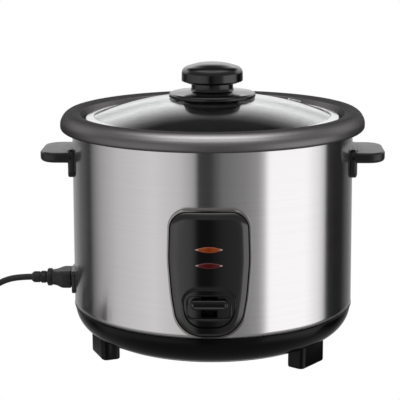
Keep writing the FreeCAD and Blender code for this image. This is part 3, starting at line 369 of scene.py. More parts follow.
moulded = {"grainScale": 900.0, "markScale": 60.0, "slowScale": 20.0}
polished = {
    "anisotropy": 0.2, "fineRows": 2500.0, "coarseRows": 900.0, "patchScale": 30.0, "bump": 0.05,
}
finishes = {
    "brushed_steel": sheetFinish("brushedSheet", {
        "anisotropy": 0.85, "fineRows": 3500.0, "coarseRows": 600.0, "patchScale": 14.0,
        "dark": (0.64, 0.622, 0.628, 1), "light": (0.78, 0.762, 0.768, 1),
        "smooth": 0.12, "rough": 0.22, "bump": 0.2}),
    "bright_steel": sheetFinish("polishedBand", {
        **polished, "dark": (0.68, 0.68, 0.68, 1), "light": (0.80, 0.80, 0.80, 1),
        "smooth": 0.10, "rough": 0.2}),
    "dull_chrome": sheetFinish("dullChromeTrim", {
        **polished, "dark": (0.30, 0.28, 0.27, 1), "light": (0.42, 0.40, 0.38, 1),
        "smooth": 0.14, "rough": 0.24}),
    "gloss_black": plasticFinish("glossBlackPlastic", {
        **moulded, "index": 1.6, "dark": (0.006, 0.006, 0.007, 1), "light": (0.011, 0.011, 0.012, 1),
        "smooth": 0.09, "rough": 0.2, "bump": 0.03}),
    "panel_black": plasticFinish("panelGloss", {
        **moulded, "index": 1.74, "dark": (0.004, 0.0035, 0.0035, 1), "light": (0.008, 0.007, 0.007, 1),
        "smooth": 0.07, "rough": 0.15, "bump": 0.02}),
    "base_black": plasticFinish("baseGloss", {
        **moulded, "index": 1.24, "dark": (0.003, 0.003, 0.003, 1), "light": (0.006, 0.006, 0.006, 1),
        "smooth": 0.08, "rough": 0.18, "bump": 0.03}),
    "satin_black": plasticFinish("satinBlackPlastic", {
        "grainScale": 2200.0, "markScale": 90.0, "slowScale": 25.0,
        "dark": (0.010, 0.010, 0.011, 1), "light": (0.017, 0.017, 0.018, 1),
        "smooth": 0.26, "rough": 0.42, "bump": 0.12}),
    "cord_black": plasticFinish("cordJacket", {
        "grainScale": 1800.0, "markScale": 120.0, "slowScale": 30.0,
        "dark": (0.018, 0.018, 0.020, 1), "light": (0.030, 0.030, 0.033, 1),
        "smooth": 0.42, "rough": 0.6, "bump": 0.2}),
    "pot_coating": coatingFinish("potCoating", {
        "metal": 0.9, "edgeTint": (0.05, 0.05, 0.05, 1), "ringScale": 900.0, "speckleScale": 1400.0,
        "dark": (0.13, 0.125, 0.125, 1), "light": (0.26, 0.25, 0.255, 1),
        "smooth": 0.34, "rough": 0.46, "bump": 0.3}),
    "glass": glassFinish("lidGlass", {
        "tint": (0.96, 0.97, 0.98, 1), "wipeScale": 40.0, "smooth": 0.0, "rough": 0.02}),
    "lens_amber": lensFinish("amberLens", {
        "halfWidth": 0.0109, "ribsPerMetre": 900.0, "middle": (0.26, 0.034, 0.002, 1),
        "body": (0.34, 0.062, 0.004, 1), "tip": (0.75, 0.6, 0.55, 1), "glow": 0.1}),
    "lens_red": lensFinish("redLens", {
        "halfWidth": 0.0109, "ribsPerMetre": 900.0, "middle": (0.075, 0.002, 0.002, 1),
        "body": (0.105, 0.005, 0.006, 1), "tip": (0.75, 0.55, 0.55, 1), "glow": 0.06}),
    "cast_aluminium": turnedFinish("turnedAluminium", {
        "ringsPerMetre": 900.0, "grainScale": 500.0, "dark": (0.45, 0.45, 0.46, 1),
        "light": (0.68, 0.68, 0.69, 1), "smooth": 0.28, "rough": 0.45, "bump": 0.2}),
    "plated_steel": turnedFinish("zincPlate", {
        "ringsPerMetre": 300.0, "grainScale": 800.0, "dark": (0.42, 0.42, 0.42, 1),
        "light": (0.6, 0.6, 0.58, 1), "smooth": 0.25, "rough": 0.4, "bump": 0.1}),
    "dark_steel": turnedFinish("blackenedSteel", {
        "ringsPerMetre": 300.0, "grainScale": 800.0, "dark": (0.02, 0.02, 0.02, 1),
        "light": (0.05, 0.05, 0.05, 1), "smooth": 0.4, "rough": 0.55, "bump": 0.1}),
    "brass": turnedFinish("brass", {
        "ringsPerMetre": 300.0, "grainScale": 700.0, "dark": (0.55, 0.40, 0.16, 1),
        "light": (0.75, 0.58, 0.26, 1), "smooth": 0.2, "rough": 0.35, "bump": 0.1}),
    "magnet": turnedFinish("ferrite", {
        "ringsPerMetre": 200.0, "grainScale": 1500.0, "dark": (0.04, 0.04, 0.045, 1),
        "light": (0.09, 0.09, 0.1, 1), "smooth": 0.5, "rough": 0.7, "bump": 0.3}),
    "switch_plastic": plasticFinish("phenolicBrown", {
        "grainScale": 1500.0, "markScale": 300.0, "slowScale": 60.0,
        "dark": (0.10, 0.045, 0.02, 1), "light": (0.18, 0.09, 0.04, 1),
        "smooth": 0.35, "rough": 0.55, "bump": 0.15}),
    "lamp_glass": glassFinish("lampGlass", {
        "tint": (0.95, 0.88, 0.78, 1), "wipeScale": 200.0, "smooth": 0.0, "rough": 0.05}),
    "wire_sleeve": plasticFinish("wireSleeve", {
        "grainScale": 2500.0, "markScale": 400.0, "slowScale": 60.0,
        "dark": (0.5, 0.48, 0.42, 1), "light": (0.72, 0.7, 0.64, 1),
        "smooth": 0.5, "rough": 0.7, "bump": 0.35}),
}
print("finishes made:", len(finishes))


lead = {
    "diameter": 5.5 * mm,
    "length": 0.95,
    "fall": [  # from the boot down to the table and to the coil
        (-158.5, 0.0, 57.5), (-171.0, 0.0, 57.2), (-184.0, 0.3, 53.8), (-195.5, 1.0, 46.4),
        (-205.5, 2.0, 36.2), (-215.0, 3.0, 25.8), (-225.5, 3.8, 16.3), (-238.0, 4.6, 9.3),
        (-251.5, 6.2, 5.0), (-264.5, 10.3, 3.0),
    ],
    "tail": [  # from the coil's top turn to the plug
        (-204.25, 36.0, 8.25), (-204.4, 23.0, 7.6), (-206.5, 10.0, 5.4), (-209.5, -3.0, 3.4),
        (-212.0, -16.0, 3.6), (-213.0, -28.5, 6.6), (-213.0, -38.0, 9.5),
    ],
    "coilCentre": (-240.0, 36.0),
    "turnRadii": (35.75, 30.25),
    "layers": (2.8, 8.25),
    "pointsPerTurn": 16,
}


def coilTurns(lead):
    # x and y go round the centre by cosine and sine, clockwise from where the fall lands; the radius goes
    # out, in, out and the height up half-way, so that the turns lie beside and on each other
    cx, cy = lead["coilCentre"]
    start = math.atan2(lead["fall"][-1][1] - cy, lead["fall"][-1][0] - cx)
    turns = 3 + (start % (2 * math.pi)) / (2 * math.pi)
    count = int(turns * lead["pointsPerTurn"])
    share = np.arange(1, count) / count
    walked = share * turns
    angle = start - walked * 2 * math.pi
    outer, inner = lead["turnRadii"]
    radius = np.interp(walked, [0, 0.85, 1.15, 2.4, 2.7, turns], [outer, outer, inner, inner, outer, outer])
    low, high = lead["layers"]
    height = np.interp(walked, [0, 1.75, 2.05, turns], [low, low, high, high])
    return np.stack([cx + radius * np.cos(angle), cy + radius * np.sin(angle), height], -1)


def makeLead(lead):
    # a smooth spline pulled towards the route's points
    points = np.vstack([lead["fall"], coilTurns(lead), lead["tail"]]) * mm
    data = bpy.data.curves.new("powerLead", "CURVE")
    data.dimensions = "3D"
    spline = data.splines.new("NURBS")
    spline.points.add(len(points) - 1)
    spline.points.foreach_set("co", np.hstack([points, np.ones((len(points), 1))]).ravel())
    spline.order_u = 3
    spline.use_endpoint_u = True
    spline.resolution_u = 6
    data.bevel_depth = lead["diameter"] / 2
    data.bevel_resolution = 6
    data.use_fill_caps = True
    data.materials.append(finishes["cord_black"])
    piece = link(bpy.data.objects.new("powerLead", data))
    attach(piece, "power_cord")
    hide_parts("cord_tube", "cord_coil", "cord_tail")
    return piece


powerLead = makeLead(lead)
print("lead made")


drum = {
    "bottomRadius": 120.0, "topRadius": 118.9, "bottom": 40.8, "top": 194.4,
    "edgeRound": 2.6, "collarRadius": 109.4, "collarBottom": 187.4, "wall": 0.6,
    "window": (9.0, 52.0, 80.0), "inlet": (13.2, 49.0, 66.0),
    "lampHoles": (114.7, 102.0), "lampHoleRadius": 4.2, "rows": (44, 188, 49), "columns": 288,
}


def drumRadius(height, clearance=0.15):
    # the drum's outside radius at a height, with a hair of air
    share = (height - drum["bottom"]) / (drum["top"] - drum["bottom"])
    return drum["bottomRadius"] + share * (drum["topRadius"] - drum["bottomRadius"]) + clearance


def thicken(piece, look):
    # the sheet's wall, added inwards
    wall = piece.modifiers.new("wall", "SOLIDIFY")
    wall.thickness = look["wall"] * mm
    wall.offset = -1


def drumSheet(look):
    # the outside line goes up the wall, over a rolled edge and down a collar; the sheet is that line turned
    sideHeights = np.unique([
        look["bottom"], *look["window"][1:], *look["inlet"][1:], *np.linspace(*look["rows"])])
    side = np.stack([drumRadius(sideHeights, 0), sideHeights], -1)
    edge = roundedLine([
        side[-1], (look["topRadius"], look["top"], look["edgeRound"]),
        (look["collarRadius"], look["top"], 1.6), (look["collarRadius"], look["collarBottom"])], steps=9)
    windowTurn = math.asin(look["window"][0] / look["bottomRadius"])
    inletTurn = math.asin(look["inlet"][0] / look["bottomRadius"])
    angles = np.unique(np.round(np.concatenate([
        np.linspace(-math.pi, math.pi, look["columns"], endpoint=False), [-windowTurn, windowTurn],
        [-math.pi / 2 - inletTurn, -math.pi / 2 + inletTurn]]), 6))

    def isSheet(centres):
        x, y, z = centres.T / mm
        window = (abs(x) < look["window"][0]) & (y < 0) & (z > look["window"][1]) & (z < look["window"][2])
        inlet = (abs(y) < look["inlet"][0]) & (x < 0) & (z > look["inlet"][1]) & (z < look["inlet"][2])
        lamps = [(np.hypot(x, z - height) < look["lampHoleRadius"]) & (y < 0) for height in look["lampHoles"]]
        return ~(window | inlet | lamps[0] | lamps[1])

    mesh = surfaceMesh("drumSheet", turnedGrid(np.vstack([side[:-1], edge]), angles), keep=isSheet)
    thicken(addPiece("drumSheet", mesh, "cooker_body", "brushed_steel", ["outer_shell"]), look)


drumSheet(drum)


base = {
    "underside": 14.5, "flatRadius": 100.2, "wall": 2.4, "locatingRadius": 118.9, "locatingTop": 46.9,
    "ledge": (120.2, 40.2, 38.9), "sideStart": (119.5, 38.5), "sideEnd": (101.5, 15.6), "sideRound": 24.6,
    "slots": 12, "slotFrom": 30.0, "slotTo": 46.0, "slotHalfWidth": 1.5, "holeRadius": 12.0, "columns": 240,
}
feet = {
    "foot_front_left": -66.7, "foot_front_right": 53.3, "foot_rear": 173.3,
}
footShape = {
    "halfWidth": 17.25, "outer": 106.5, "inner": 91.0, "outerCorner": 4.5, "innerCorner": 3.0,
    "screwCircle": 98.0, "recessRadius": 4.2, "recessDepth": 8.0,
    "soleEdge": [(1.3, 0.0), (0.9, 0.08), (0.4, 0.4), (0.08, 1.0), (0.0, 1.6)],  # inset, height
}


def baseLine(look):
    # down from the locating ring, round a small ledge, then a quarter-round to the flat underside
    ledgeRadius, ledgeTop, ledgeBottom = look["ledge"]
    top = roundedLine([
        (look["locatingRadius"], look["locatingTop"]), (look["locatingRadius"], ledgeTop),
        (ledgeRadius, ledgeTop, 0.5), (ledgeRadius, ledgeBottom, 0.4), look["sideStart"]], steps=4)
    side = arcLine(look["sideStart"], look["sideEnd"], look["sideRound"], 28)
    under = roundedLine([
        look["sideEnd"], (look["flatRadius"], look["underside"], 0.8), (look["slotTo"], look["underside"]),
        (look["slotFrom"], look["underside"]), (look["holeRadius"], look["underside"])], steps=4)
    return np.vstack([top[:-1], side, under[1:]])


def baseCover(look):
    # the base line turned, with the faces of the cooling slots left out
    half = math.asin(look["slotHalfWidth"] * 2 / (look["slotFrom"] + look["slotTo"]))
    slotAngles = np.arange(look["slots"]) * 2 * math.pi / look["slots"]
    even = np.linspace(0, 2 * math.pi, look["columns"], endpoint=False)
    spread = np.concatenate([slotAngles - half, slotAngles + half, even])
    angles = np.unique(np.round(spread % (2 * math.pi), 5))

    def isSolid(centres):
        radius = np.hypot(centres[:, 0], centres[:, 1]) / mm
        turn = np.arctan2(centres[:, 0], -centres[:, 1])
        step = 2 * math.pi / look["slots"]
        offset = abs((turn + step / 2) % step - step / 2)
        return ~((radius > look["slotFrom"]) & (radius < look["slotTo"]) & (offset < half))

    mesh = surfaceMesh("baseCover", turnedGrid(baseLine(look), angles), keep=isSolid)
    cover = addPiece(
        "baseCover", mesh, "cooker_body", "gloss_black", ["base_cover"], finish="base_black")
    thicken(cover, look)


def insetLoop(loop, distance):
    # the loop with every point moved inwards along the loop's own normal
    along = np.roll(loop, -1, 0) - np.roll(loop, 1, 0)
    along /= np.linalg.norm(along, axis=1)[:, None]
    area = np.sum(loop[:, 0] * np.roll(loop[:, 1], -1) - np.roll(loop[:, 0], -1) * loop[:, 1])
    inwards = np.stack([-along[:, 1], along[:, 0]], -1) * math.copysign(1, area)
    return loop + inwards * distance


def insetRows(loop, rows):
    # the loop at each row's inset, beside the row's second value
    return [(insetLoop(loop, inset), value) for inset, value in rows]


def rayLoop(outline, centre, angles):
    # the outline's points that lie in the given directions from the centre
    dense = evenLoop(outline, 1500) - centre
    turns, distances = np.arctan2(dense[:, 1], dense[:, 0]), np.linalg.norm(dense, axis=1)
    reach = np.interp(angles, turns, distances, period=2 * math.pi)
    return centre + np.stack([np.cos(angles), np.sin(angles)], -1) * reach[:, None]


def rayAngles(outline, centre, count):
    # directions from the centre to points that are evenly spaced along the outline
    even = evenLoop(outline, count) - centre
    return np.arctan2(even[:, 1], even[:, 0])


def footMesh(name, shape, turn):
    # loops go from the screw recess out over the sole, up the sides and in along the underside of the base
    centre = np.array([0.0, -shape["screwCircle"]])
    half, outer, inner = shape["halfWidth"], -shape["outer"], -shape["inner"]
    outline = roundedLine([
        (-half, outer, shape["outerCorner"]), (half, outer, shape["outerCorner"]),
        (half, inner, shape["innerCorner"]), (-half, inner, shape["innerCorner"])], closed=True)
    angles = rayAngles(outline, centre, 96)
    outline = rayLoop(outline, centre, angles)
    circle = centre + np.stack([np.cos(angles), np.sin(angles)], -1) * shape["recessRadius"]
    line = baseLine(base)
    heights = line[line[:, 1] < base["sideStart"][1]][::-1]

    def under(loop):
        return np.interp(np.hypot(*loop.T), heights[:, 0], heights[:, 1]) - 0.05

    flat = np.ones(len(angles))
    rows = [
        (centre + 0 * circle, flat * shape["recessDepth"]), (circle, flat * shape["recessDepth"]),
        (circle, flat * 0.5), (centre + (circle - centre) * 1.1, flat * 0)]
    rows += [(loop, flat * height) for loop, height in insetRows(outline, shape["soleEdge"])]
    rows += [(outline, under(outline) - 0.4), (insetLoop(outline, 0.15), under(outline))]
    for share in (0.75, 0.5, 0.25, 0.0):
        shrunk = centre + (outline - centre) * share
        rows.append((shrunk, under(shrunk)))
    local = np.stack([np.hstack([loop, height[:, None]]) for loop, height in rows])
    sine, cosine = math.sin(math.radians(turn)), math.cos(math.radians(turn))
    x, y, z = np.moveaxis(local, -1, 0)
    return surfaceMesh(name, np.stack([x * cosine - y * sine, x * sine + y * cosine, z], -1) * mm)


baseCover(base)
for node, turn in feet.items():
    pieceName = "block" + node.title().replace("_", "")
    addPiece(pieceName, footMesh(pieceName, footShape, turn), "cooker_body", "satin_black", [node],
             finish="base_black")
print("drum, base and feet made")


pot = {
    "columns": 256, "arcSteps": 16,
    "section": [  # radius, height and rounding
        (0, 64.3), (105.4, 64.3, 24.0), (105.4, 194.6, 0.6), (110.8, 195.2, 1.0),  # outside, up to the ledge
        (113.2, 202.5, 1.2), (118.0, 204.9, 8.0), (123.9, 203.1, 6.0), (127.6, 197.2, 6.0),  # under the lip
        (127.6, 191.6, 1.8), (124.5, 192.1), (124.5, 190.7),  # its turned-in edge
        (129.0, 190.2, 3.0), (129.0, 197.8, 9.5), (125.2, 204.6, 9.0), (118.0, 206.5, 14.0),  # the lip's face
        (112.0, 203.7, 1.6), (109.6, 196.6, 1.6),  # down to the ledge that carries the lid
        (104.0, 196.0, 1.4), (104.0, 65.7, 22.6), (0, 65.7)],  # inside
}


def potMesh(look):
    # one closed section turned about +Z
    return turnedMesh("innerPot", roundedLine(look["section"], steps=look["arcSteps"]), look["columns"])


innerPot = addPiece("innerPot", potMesh(pot), "inner_pot", "pot_coating", ["inner_pot"], 50.0)


lid = {
    "dome": 300.0, "top": 218.3, "wall": 3.0, "radius": 104.5, "holeRadius": 4.5,
    "ventCircle": 87.8, "ventAngle": 125.5, "ventColumns": 48, "columns": 224, "knobColumns": 160,
    # sections as radius, height and rounding; the eyelet's height is above the glass
    "eyelet": [
        (2.0, -4.4), (3.4, -4.4), (3.4, 0.1), (6.0, 0.1, 0.3), (6.0, 1.35, 0.7), (4.2, 1.5, 0.9),
        (2.0, 0.9, 0.6)],
    "band": [
        (100.6, 201.05), (100.6, 201.7, 0.3), (108.0, 200.7, 1.8), (108.0, 196.9, 0.9), (105.0, 196.9, 0.4),
        (105.0, 200.1, 0.4)],
    "skirtUnder": (35.5, 2.1), "skirtLift": 0.08,
    "skirt": [
        (2.1, 228.4), (17.7, 228.4, 0.4), (17.7, 224.5), (18.3, 221.6, 1.6), (27.0, 221.0, 30.0),
        (36.7, 220.2, 1.9), (36.7, 216.8, 0.6), (35.6, 216.3)],
    "cap": [
        (0, 228.6), (20.5, 228.6, 0.4), (21.5, 228.5, 0.5), (26.0, 230.3, 0.9), (25.8, 241.2, 6.2),
        (12.0, 245.4, 40.0), (0, 246.0)],
    "washer": [
        (2.2, 215.2), (10, 215.05), (25, 214.15, 0.3), (25, 213.0, 0.5), (21.5, 210.1, 1.0), (2.2, 210.1)],
}


def domeHeight(radius, below=0.0):
    # height of the sphere that the glass follows
    return lid["top"] - lid["dome"] + np.sqrt((lid["dome"] - below) ** 2 - np.square(radius))


def glassMesh(look):
    # section: out along the dome's upper sphere, round the ground edge and back along the lower one
    out = np.linspace(look["holeRadius"], look["radius"] - 0.6, 40)
    above = np.stack([out, domeHeight(out)], -1)
    below = np.stack([out, domeHeight(out, look["wall"])], -1)[::-1]
    edge = np.array([
        (look["radius"] - 0.1, domeHeight(look["radius"]) - 0.5),
        (look["radius"] - 0.1, domeHeight(look["radius"], look["wall"]) + 0.5)])
    return turnedMesh("lidGlass", np.vstack([above, edge, below]), look["columns"])


def ventMesh(look):
    # a rolled eyelet turned about the glass's own normal at the vent
    section = roundedLine(look["eyelet"], closed=True, steps=5)
    turn = math.radians(look["ventAngle"])
    spot = np.array([look["ventCircle"] * math.sin(turn), -look["ventCircle"] * math.cos(turn),
                     domeHeight(look["ventCircle"])])
    normal = (spot - [0, 0, look["top"] - look["dome"]]) / look["dome"]
    side = np.cross(normal, [0, 0, 1.0])
    side /= np.linalg.norm(side)
    axes = np.stack([side, np.cross(normal, side), normal])
    local = turnedGrid(section, np.linspace(0, 2 * math.pi, look["ventColumns"], endpoint=False))
    return surfaceMesh("ventEyelet", local @ axes + spot * mm, closeRows=True)


def lidPiece(name, mesh, slot, node, sharp=35.0, finish=None):
    addPiece(name, mesh, "lid", slot, [node], sharp, finish)


bandMesh = turnedMesh("lidBand", roundedLine(lid["band"], closed=True, steps=8), lid["columns"])
skirtOut = np.linspace(*lid["skirtUnder"], 16)
skirtUnder = np.stack([skirtOut, domeHeight(skirtOut) + lid["skirtLift"]], -1)  # sits on the glass
skirtSection = np.vstack([skirtUnder, roundedLine(lid["skirt"], steps=8)])
capSection = roundedLine(lid["cap"], steps=14)
washerSection = roundedLine(lid["washer"], closed=True, steps=6)
lidPiece("lidGlass", glassMesh(lid), "glass", "lid_glass", 50.0)
lidPiece("lidBand", bandMesh, "brushed_steel", "lid_rim", finish="bright_steel")
lidPiece("ventEyelet", ventMesh(lid), "brushed_steel", "vent_eyelet", finish="bright_steel")
for name, node, section, columns, sharp in (
        ("knobSkirt", "knob_skirt", skirtSection, lid["knobColumns"], 35.0),
        ("knobCap", "knob_cap", capSection, lid["knobColumns"], 50.0),
        ("knobWasher", "knob_washer", washerSection, 128, 35.0)):
    lidPiece(name, turnedMesh(name, section, columns), "gloss_black", node, sharp)
print("pot and lid made")


panel = {
    "top": 145.5, "bottom": 42.4, "halfWidth": 33.3, "front": 126.2, "inset": 1.5, "centre": (0.0, 68.0),
    # outline: how far in from the half width, height and rounding, from the shoulder down
    "shoulder": (1.4, 14.5), "side": (105, 120), "waist": (2.3, 75, 150), "chin": (7.8, 22), "points": 264,
    # edges: inset and distance from the axis
    "edge": [
        (0.0, 122.8), (0.2, 123.7), (0.7, 124.35), (1.6, 124.95), (2.8, 125.45), (4.2, 125.85), (5.8, 126.1),
        (7.4, 126.2)],
    "arch": (21.5, 47.5, 82.9), "archCorners": (15.0, 12.0),
    "archEdge": [(-0.6, 126.2), (-0.1, 126.0), (0.3, 125.4), (0.6, 124.5), (1.3, 124.2)],
    "pocket": (17.3, 58.0, 76.6), "pocketCorners": (4.0, 5.0),
    "pocketEdge": [(-0.3, 124.2), (0.1, 123.9), (0.4, 122.4)],
    "slot": (6.5, 58.9, 76.0),
    "trim": [(0.0, None), (0.0, 123.9), (0.25, 124.25), (1.1, 124.25), (1.4, 123.9), (1.4, None)],
}


def panelOutline(look, inset):
    # straight sides, rounded top corners and a U-shaped bottom, seen from the front
    half, top, low = look["halfWidth"] - inset, look["top"] - inset, look["bottom"] + inset
    shoulderIn, shoulderRound = look["shoulder"]
    chinIn, chinRound = look["chin"]
    waistIn, *waist = look["waist"]
    right = [
        (half - waistIn, *waist), (half, *look["side"]), (half - shoulderIn, top, shoulderRound)]
    left = [(-x, height, bend) for x, height, bend in reversed(right)]
    chin = [(-half + chinIn, low, chinRound), (half - chinIn, low, chinRound)]
    return roundedLine(right + left + chin, closed=True, steps=14)


def boxOutline(halfWidth, low, high, lowCorner, highCorner):
    # a rectangle about x = 0 with rounded corners
    return roundedLine([
        (-halfWidth, low, lowCorner), (halfWidth, low, lowCorner),
        (halfWidth, high, highCorner), (-halfWidth, high, highCorner)], closed=True, steps=10)


def onFront(loop, radius):
    # the front view's (x, z) wrapped on an upright cylinder; a radius of None means the drum itself
    radius = drumRadius(loop[:, 1]) if radius is None else radius
    return np.stack([loop[:, 0], -np.sqrt(np.square(radius) - loop[:, 0] ** 2), loop[:, 1]], -1)


def bridge(first, last, radius, steps):
    # loops between two outlines on one cylinder, so that the face between them follows it
    return [onFront(first + (last - first) * share, radius) for share in np.linspace(0, 1, steps + 2)[1:-1]]


def panelMesh(look):
    # loops on cylinders: up the outer edge, over the front, down into the arch and the pocket, through the
    # slot and back along the drum
    centre = np.array(look["centre"])
    angles = rayAngles(panelOutline(look, look["inset"]), centre, look["points"])

    def seen(outline):
        return rayLoop(outline, centre, angles)

    outer = seen(panelOutline(look, look["inset"]))
    arch = seen(boxOutline(*look["arch"], *look["archCorners"]))
    pocket = seen(boxOutline(*look["pocket"], *look["pocketCorners"]))
    slot = seen(boxOutline(*look["slot"], 1.0, 1.0))
    edge = insetRows(outer, look["edge"])
    archEdge = insetRows(arch, look["archEdge"])
    pocketEdge = insetRows(pocket, look["pocketEdge"])
    floor = look["pocketEdge"][-1][1]
    grid = [onFront(outer, None)] + [onFront(*row) for row in edge]
    grid += bridge(edge[-1][0], archEdge[0][0], look["front"], 12) + [onFront(*row) for row in archEdge]
    grid += bridge(archEdge[-1][0], pocketEdge[0][0], archEdge[-1][1], 3)
    grid += [onFront(*row) for row in pocketEdge]
    grid += bridge(pocketEdge[-1][0], slot, floor, 3) + [onFront(slot, floor), onFront(slot, None)]
    grid += bridge(slot, outer, None, 8)
    return surfaceMesh("controlPanel", np.stack(grid) * mm, closeRows=True)


def trimMesh(look):
    # a thin strip that follows the outline: each row is the outline at an inset, on a cylinder
    centre = np.array(look["centre"])
    angles = rayAngles(panelOutline(look, 0), centre, look["points"])
    loops = [
        onFront(rayLoop(panelOutline(look, inset), centre, angles), radius) for inset, radius in look["trim"]]
    return surfaceMesh("panelTrim", np.stack(loops) * mm, closeRows=True)


addPiece(
    "controlPanel", panelMesh(panel), "cooker_body", "gloss_black", ["control_panel"], 40.0, "panel_black")
addPiece("panelTrim", trimMesh(panel), "cooker_body", "brushed_steel", ["panel_trim"], finish="dull_chrome")

lamps = {
    "halfWidth": 10.9, "halfHeight": 2.4,
    "lens_amber": 114.7, "lens_red": 102.0,
    "rows": [
        (1.0, 124.6), (1.0, 126.35), (0.97, 126.75), (0.86, 127.0), (0.6, 127.1), (0.3, 127.1), (0.0, 127.1)],
}


def lensMesh(name, look, height):
    # a pointed oval, its half height 1 - (x / half width) squared; each row is the oval made smaller on a
    # larger cylinder
    turn = np.linspace(0, 2 * math.pi, 96, endpoint=False)
    x = look["halfWidth"] * np.cos(turn)
    rise = look["halfHeight"] * (1 - (x / look["halfWidth"]) ** 2) * np.sign(np.sin(turn))
    rows = [(0.0, look["rows"][0][1]), *look["rows"]]
    return surfaceMesh(name, np.stack([
        onFront(np.stack([x * share, height + rise * share], -1), radius) for share, radius in rows]) * mm)


for slot in ("lens_amber", "lens_red"):
    pieceName = slot.split("_")[1] + "Lens"
    addPiece(pieceName, lensMesh(pieceName, lamps, lamps[slot]), "cooker_body", slot, [slot], 60.0)

key = {
    "outline": (14.8, 66.3, 74.0, 3.4, 3.4), "back": 123.3,
    "rim": [  # inset, distance in front of the axis
        (0.0, 126.3), (0.15, 126.8), (0.45, 127.2), (0.9, 127.4), (1.3, 127.4), (1.65, 127.25), (1.95, 126.9),
        (2.3, 126.7), (2.9, 126.65)],
}


def keyMesh(look):
    # rounded bar: loops from the back plane to the front, a round rim there and a shallow dish inside it
    outline = evenLoop(boxOutline(*look["outline"]), 120)
    rows = insetRows(outline, [(0.0, look["back"]), *look["rim"]])
    return loftMesh("cookKey", [np.insert(loop, 1, -depth, 1) for loop, depth in rows])


addPiece("cookKey", keyMesh(key), "cook_lever", "gloss_black", ["switch_key"], 60.0)
print("control panel made")


handles = {
    "tip": 145.5, "halfWidth": 28.6, "tipCorner": 15.0, "root": 117.5, "bottom": 164.0, "top": 172.8,
    "topRound": 1.5, "bottomRound": 3.2,
    "plate": (28.6, 151.0, 175.0), "plateCorners": (7.0, 5.0), "plateFront": 123.4,
    "plateEdge": [(0.0, 122.0), (0.12, 122.7), (0.5, 123.15), (1.1, 123.36), (1.9, 123.4)],
}


def handleMesh(name, look, side):
    # a plate that hugs the drum, and a flat grip with a quarter-round above and a rounder one below
    outline = evenLoop(boxOutline(*look["plate"], *look["plateCorners"]), 160)
    middle = np.array([0.0, (look["plate"][1] + look["plate"][2]) / 2])

    def shrunk(share, radius):
        return onFront(middle + (outline - middle) * share, radius)

    plate = [shrunk(share, None) for share in (0.0, 0.3, 0.6, 0.85, 1.0)]
    plate += [onFront(*row) for row in insetRows(outline, look["plateEdge"])]
    plate += [shrunk(share, look["plateFront"]) for share in (0.8, 0.5, 0.2, 0.0)]
    half, corner = look["halfWidth"], look["tipCorner"]
    plan = evenLoop(roundedLine([
        (-half, -look["root"]), (-half, -look["tip"], corner),
        (half, -look["tip"], corner), (half, -look["root"])], closed=True, steps=18), 200)
    low, high = look["bottomRound"], look["topRound"]
    turns = np.linspace(0, math.pi / 2, 7)
    rows = [(low * (1 - math.sin(turn)), look["bottom"] + low * (1 - math.cos(turn))) for turn in turns]
    rows += [(high * (1 - math.cos(turn)), look["top"] - high * (1 - math.sin(turn))) for turn in turns]
    grip = [np.insert(loop, 2, height, 1) for loop, height in insetRows(plan, rows)]
    mesh = joinMeshes(name, [surfaceMesh(name, np.stack(plate) * mm), loftMesh(name, grip)])
    points = np.empty(len(mesh.vertices) * 3)
    mesh.vertices.foreach_get("co", points)
    x, y, z = points.reshape(-1, 3).T
    mesh.vertices.foreach_set("co", np.stack([-y * side, x * side, z], -1).ravel())  # turned to one side
    return mesh


for node, side in (("handle_right", 1), ("handle_left", -1)):
    pieceName = "sideHandle" + node.split("_")[1].title()
    addPiece(pieceName, handleMesh(pieceName, handles, side), "cooker_body", "satin_black", [node])
print("handles made")


inlet = {
    "height": 57.5, "face": 122.8, "flange": (21.0, 9.8, 4.0), "well": (10.6, 6.4, 2.0), "wellFloor": 106.5,
}
connector = {
    # distance from the axis, half width, half height, corner
    "rows": [
        (107.2, 10.1, 5.9, 1.6), (123.1, 10.1, 5.9, 1.6), (123.1, 11.0, 7.0, 2.4), (123.5, 11.5, 7.5, 2.8),
        (129.6, 11.5, 7.5, 2.8), (131.3, 11.2, 7.4, 3.2), (133.2, 10.2, 7.0, 3.6), (135.2, 9.0, 6.5, 3.9),
        (137.2, 8.0, 6.15, 4.0), (139.2, 7.5, 6.0, 4.0), (140.2, 6.9, 5.6, 4.0)],
    # section of the ribbed boot: radius, distance from the axis, rounding
    "boot": [
        (0, 139.0), (6.0, 139.0), (7.7, 140.9, 1.0), (7.7, 144.1, 1.0), (4.3, 145.3, 0.6), (5.35, 146.3, 0.9),
        (5.35, 149.9, 1.0), (4.2, 150.7, 0.5), (4.9, 151.6, 0.9), (4.9, 156.4, 2.0), (3.2, 158.5, 0.3),
        (0, 158.5)],
}
plug = {
    "x": -213.0, "middle": 9.4, "cornerShare": 0.98,
    # y, half width, half height, corner, and the middle's height where it is another
    "rows": [
        (-35.5, 3.3, 3.3, 3.2, 8.9), (-38.0, 3.9, 3.9, 3.6, 9.3), (-41.0, 4.1, 4.1, 3.8),
        (-41.6, 4.9, 4.8, 4.2), (-44.4, 5.1, 5.0, 4.4), (-45.0, 4.7, 4.6, 4.2), (-46.2, 4.9, 4.8, 4.2),
        (-46.8, 6.0, 5.6, 4.6), (-49.6, 6.3, 5.9, 4.6), (-50.2, 6.0, 5.6, 4.4), (-53.0, 7.4, 6.6, 4.6),
        (-57.0, 9.9, 8.3, 4.6), (-60.0, 11.5, 9.1, 4.2), (-63.0, 12.0, 9.3, 3.8), (-72.6, 12.0, 9.3, 3.6),
        (-73.6, 11.6, 8.9, 3.3), (-74.0, 10.8, 8.1, 3.0)],
}


def across(loop, distance):
    # a loop about the inlet's height, upright on the -X side at a distance from the axis
    return np.insert(loop + [0, inlet["height"]], 0, -distance, 1)


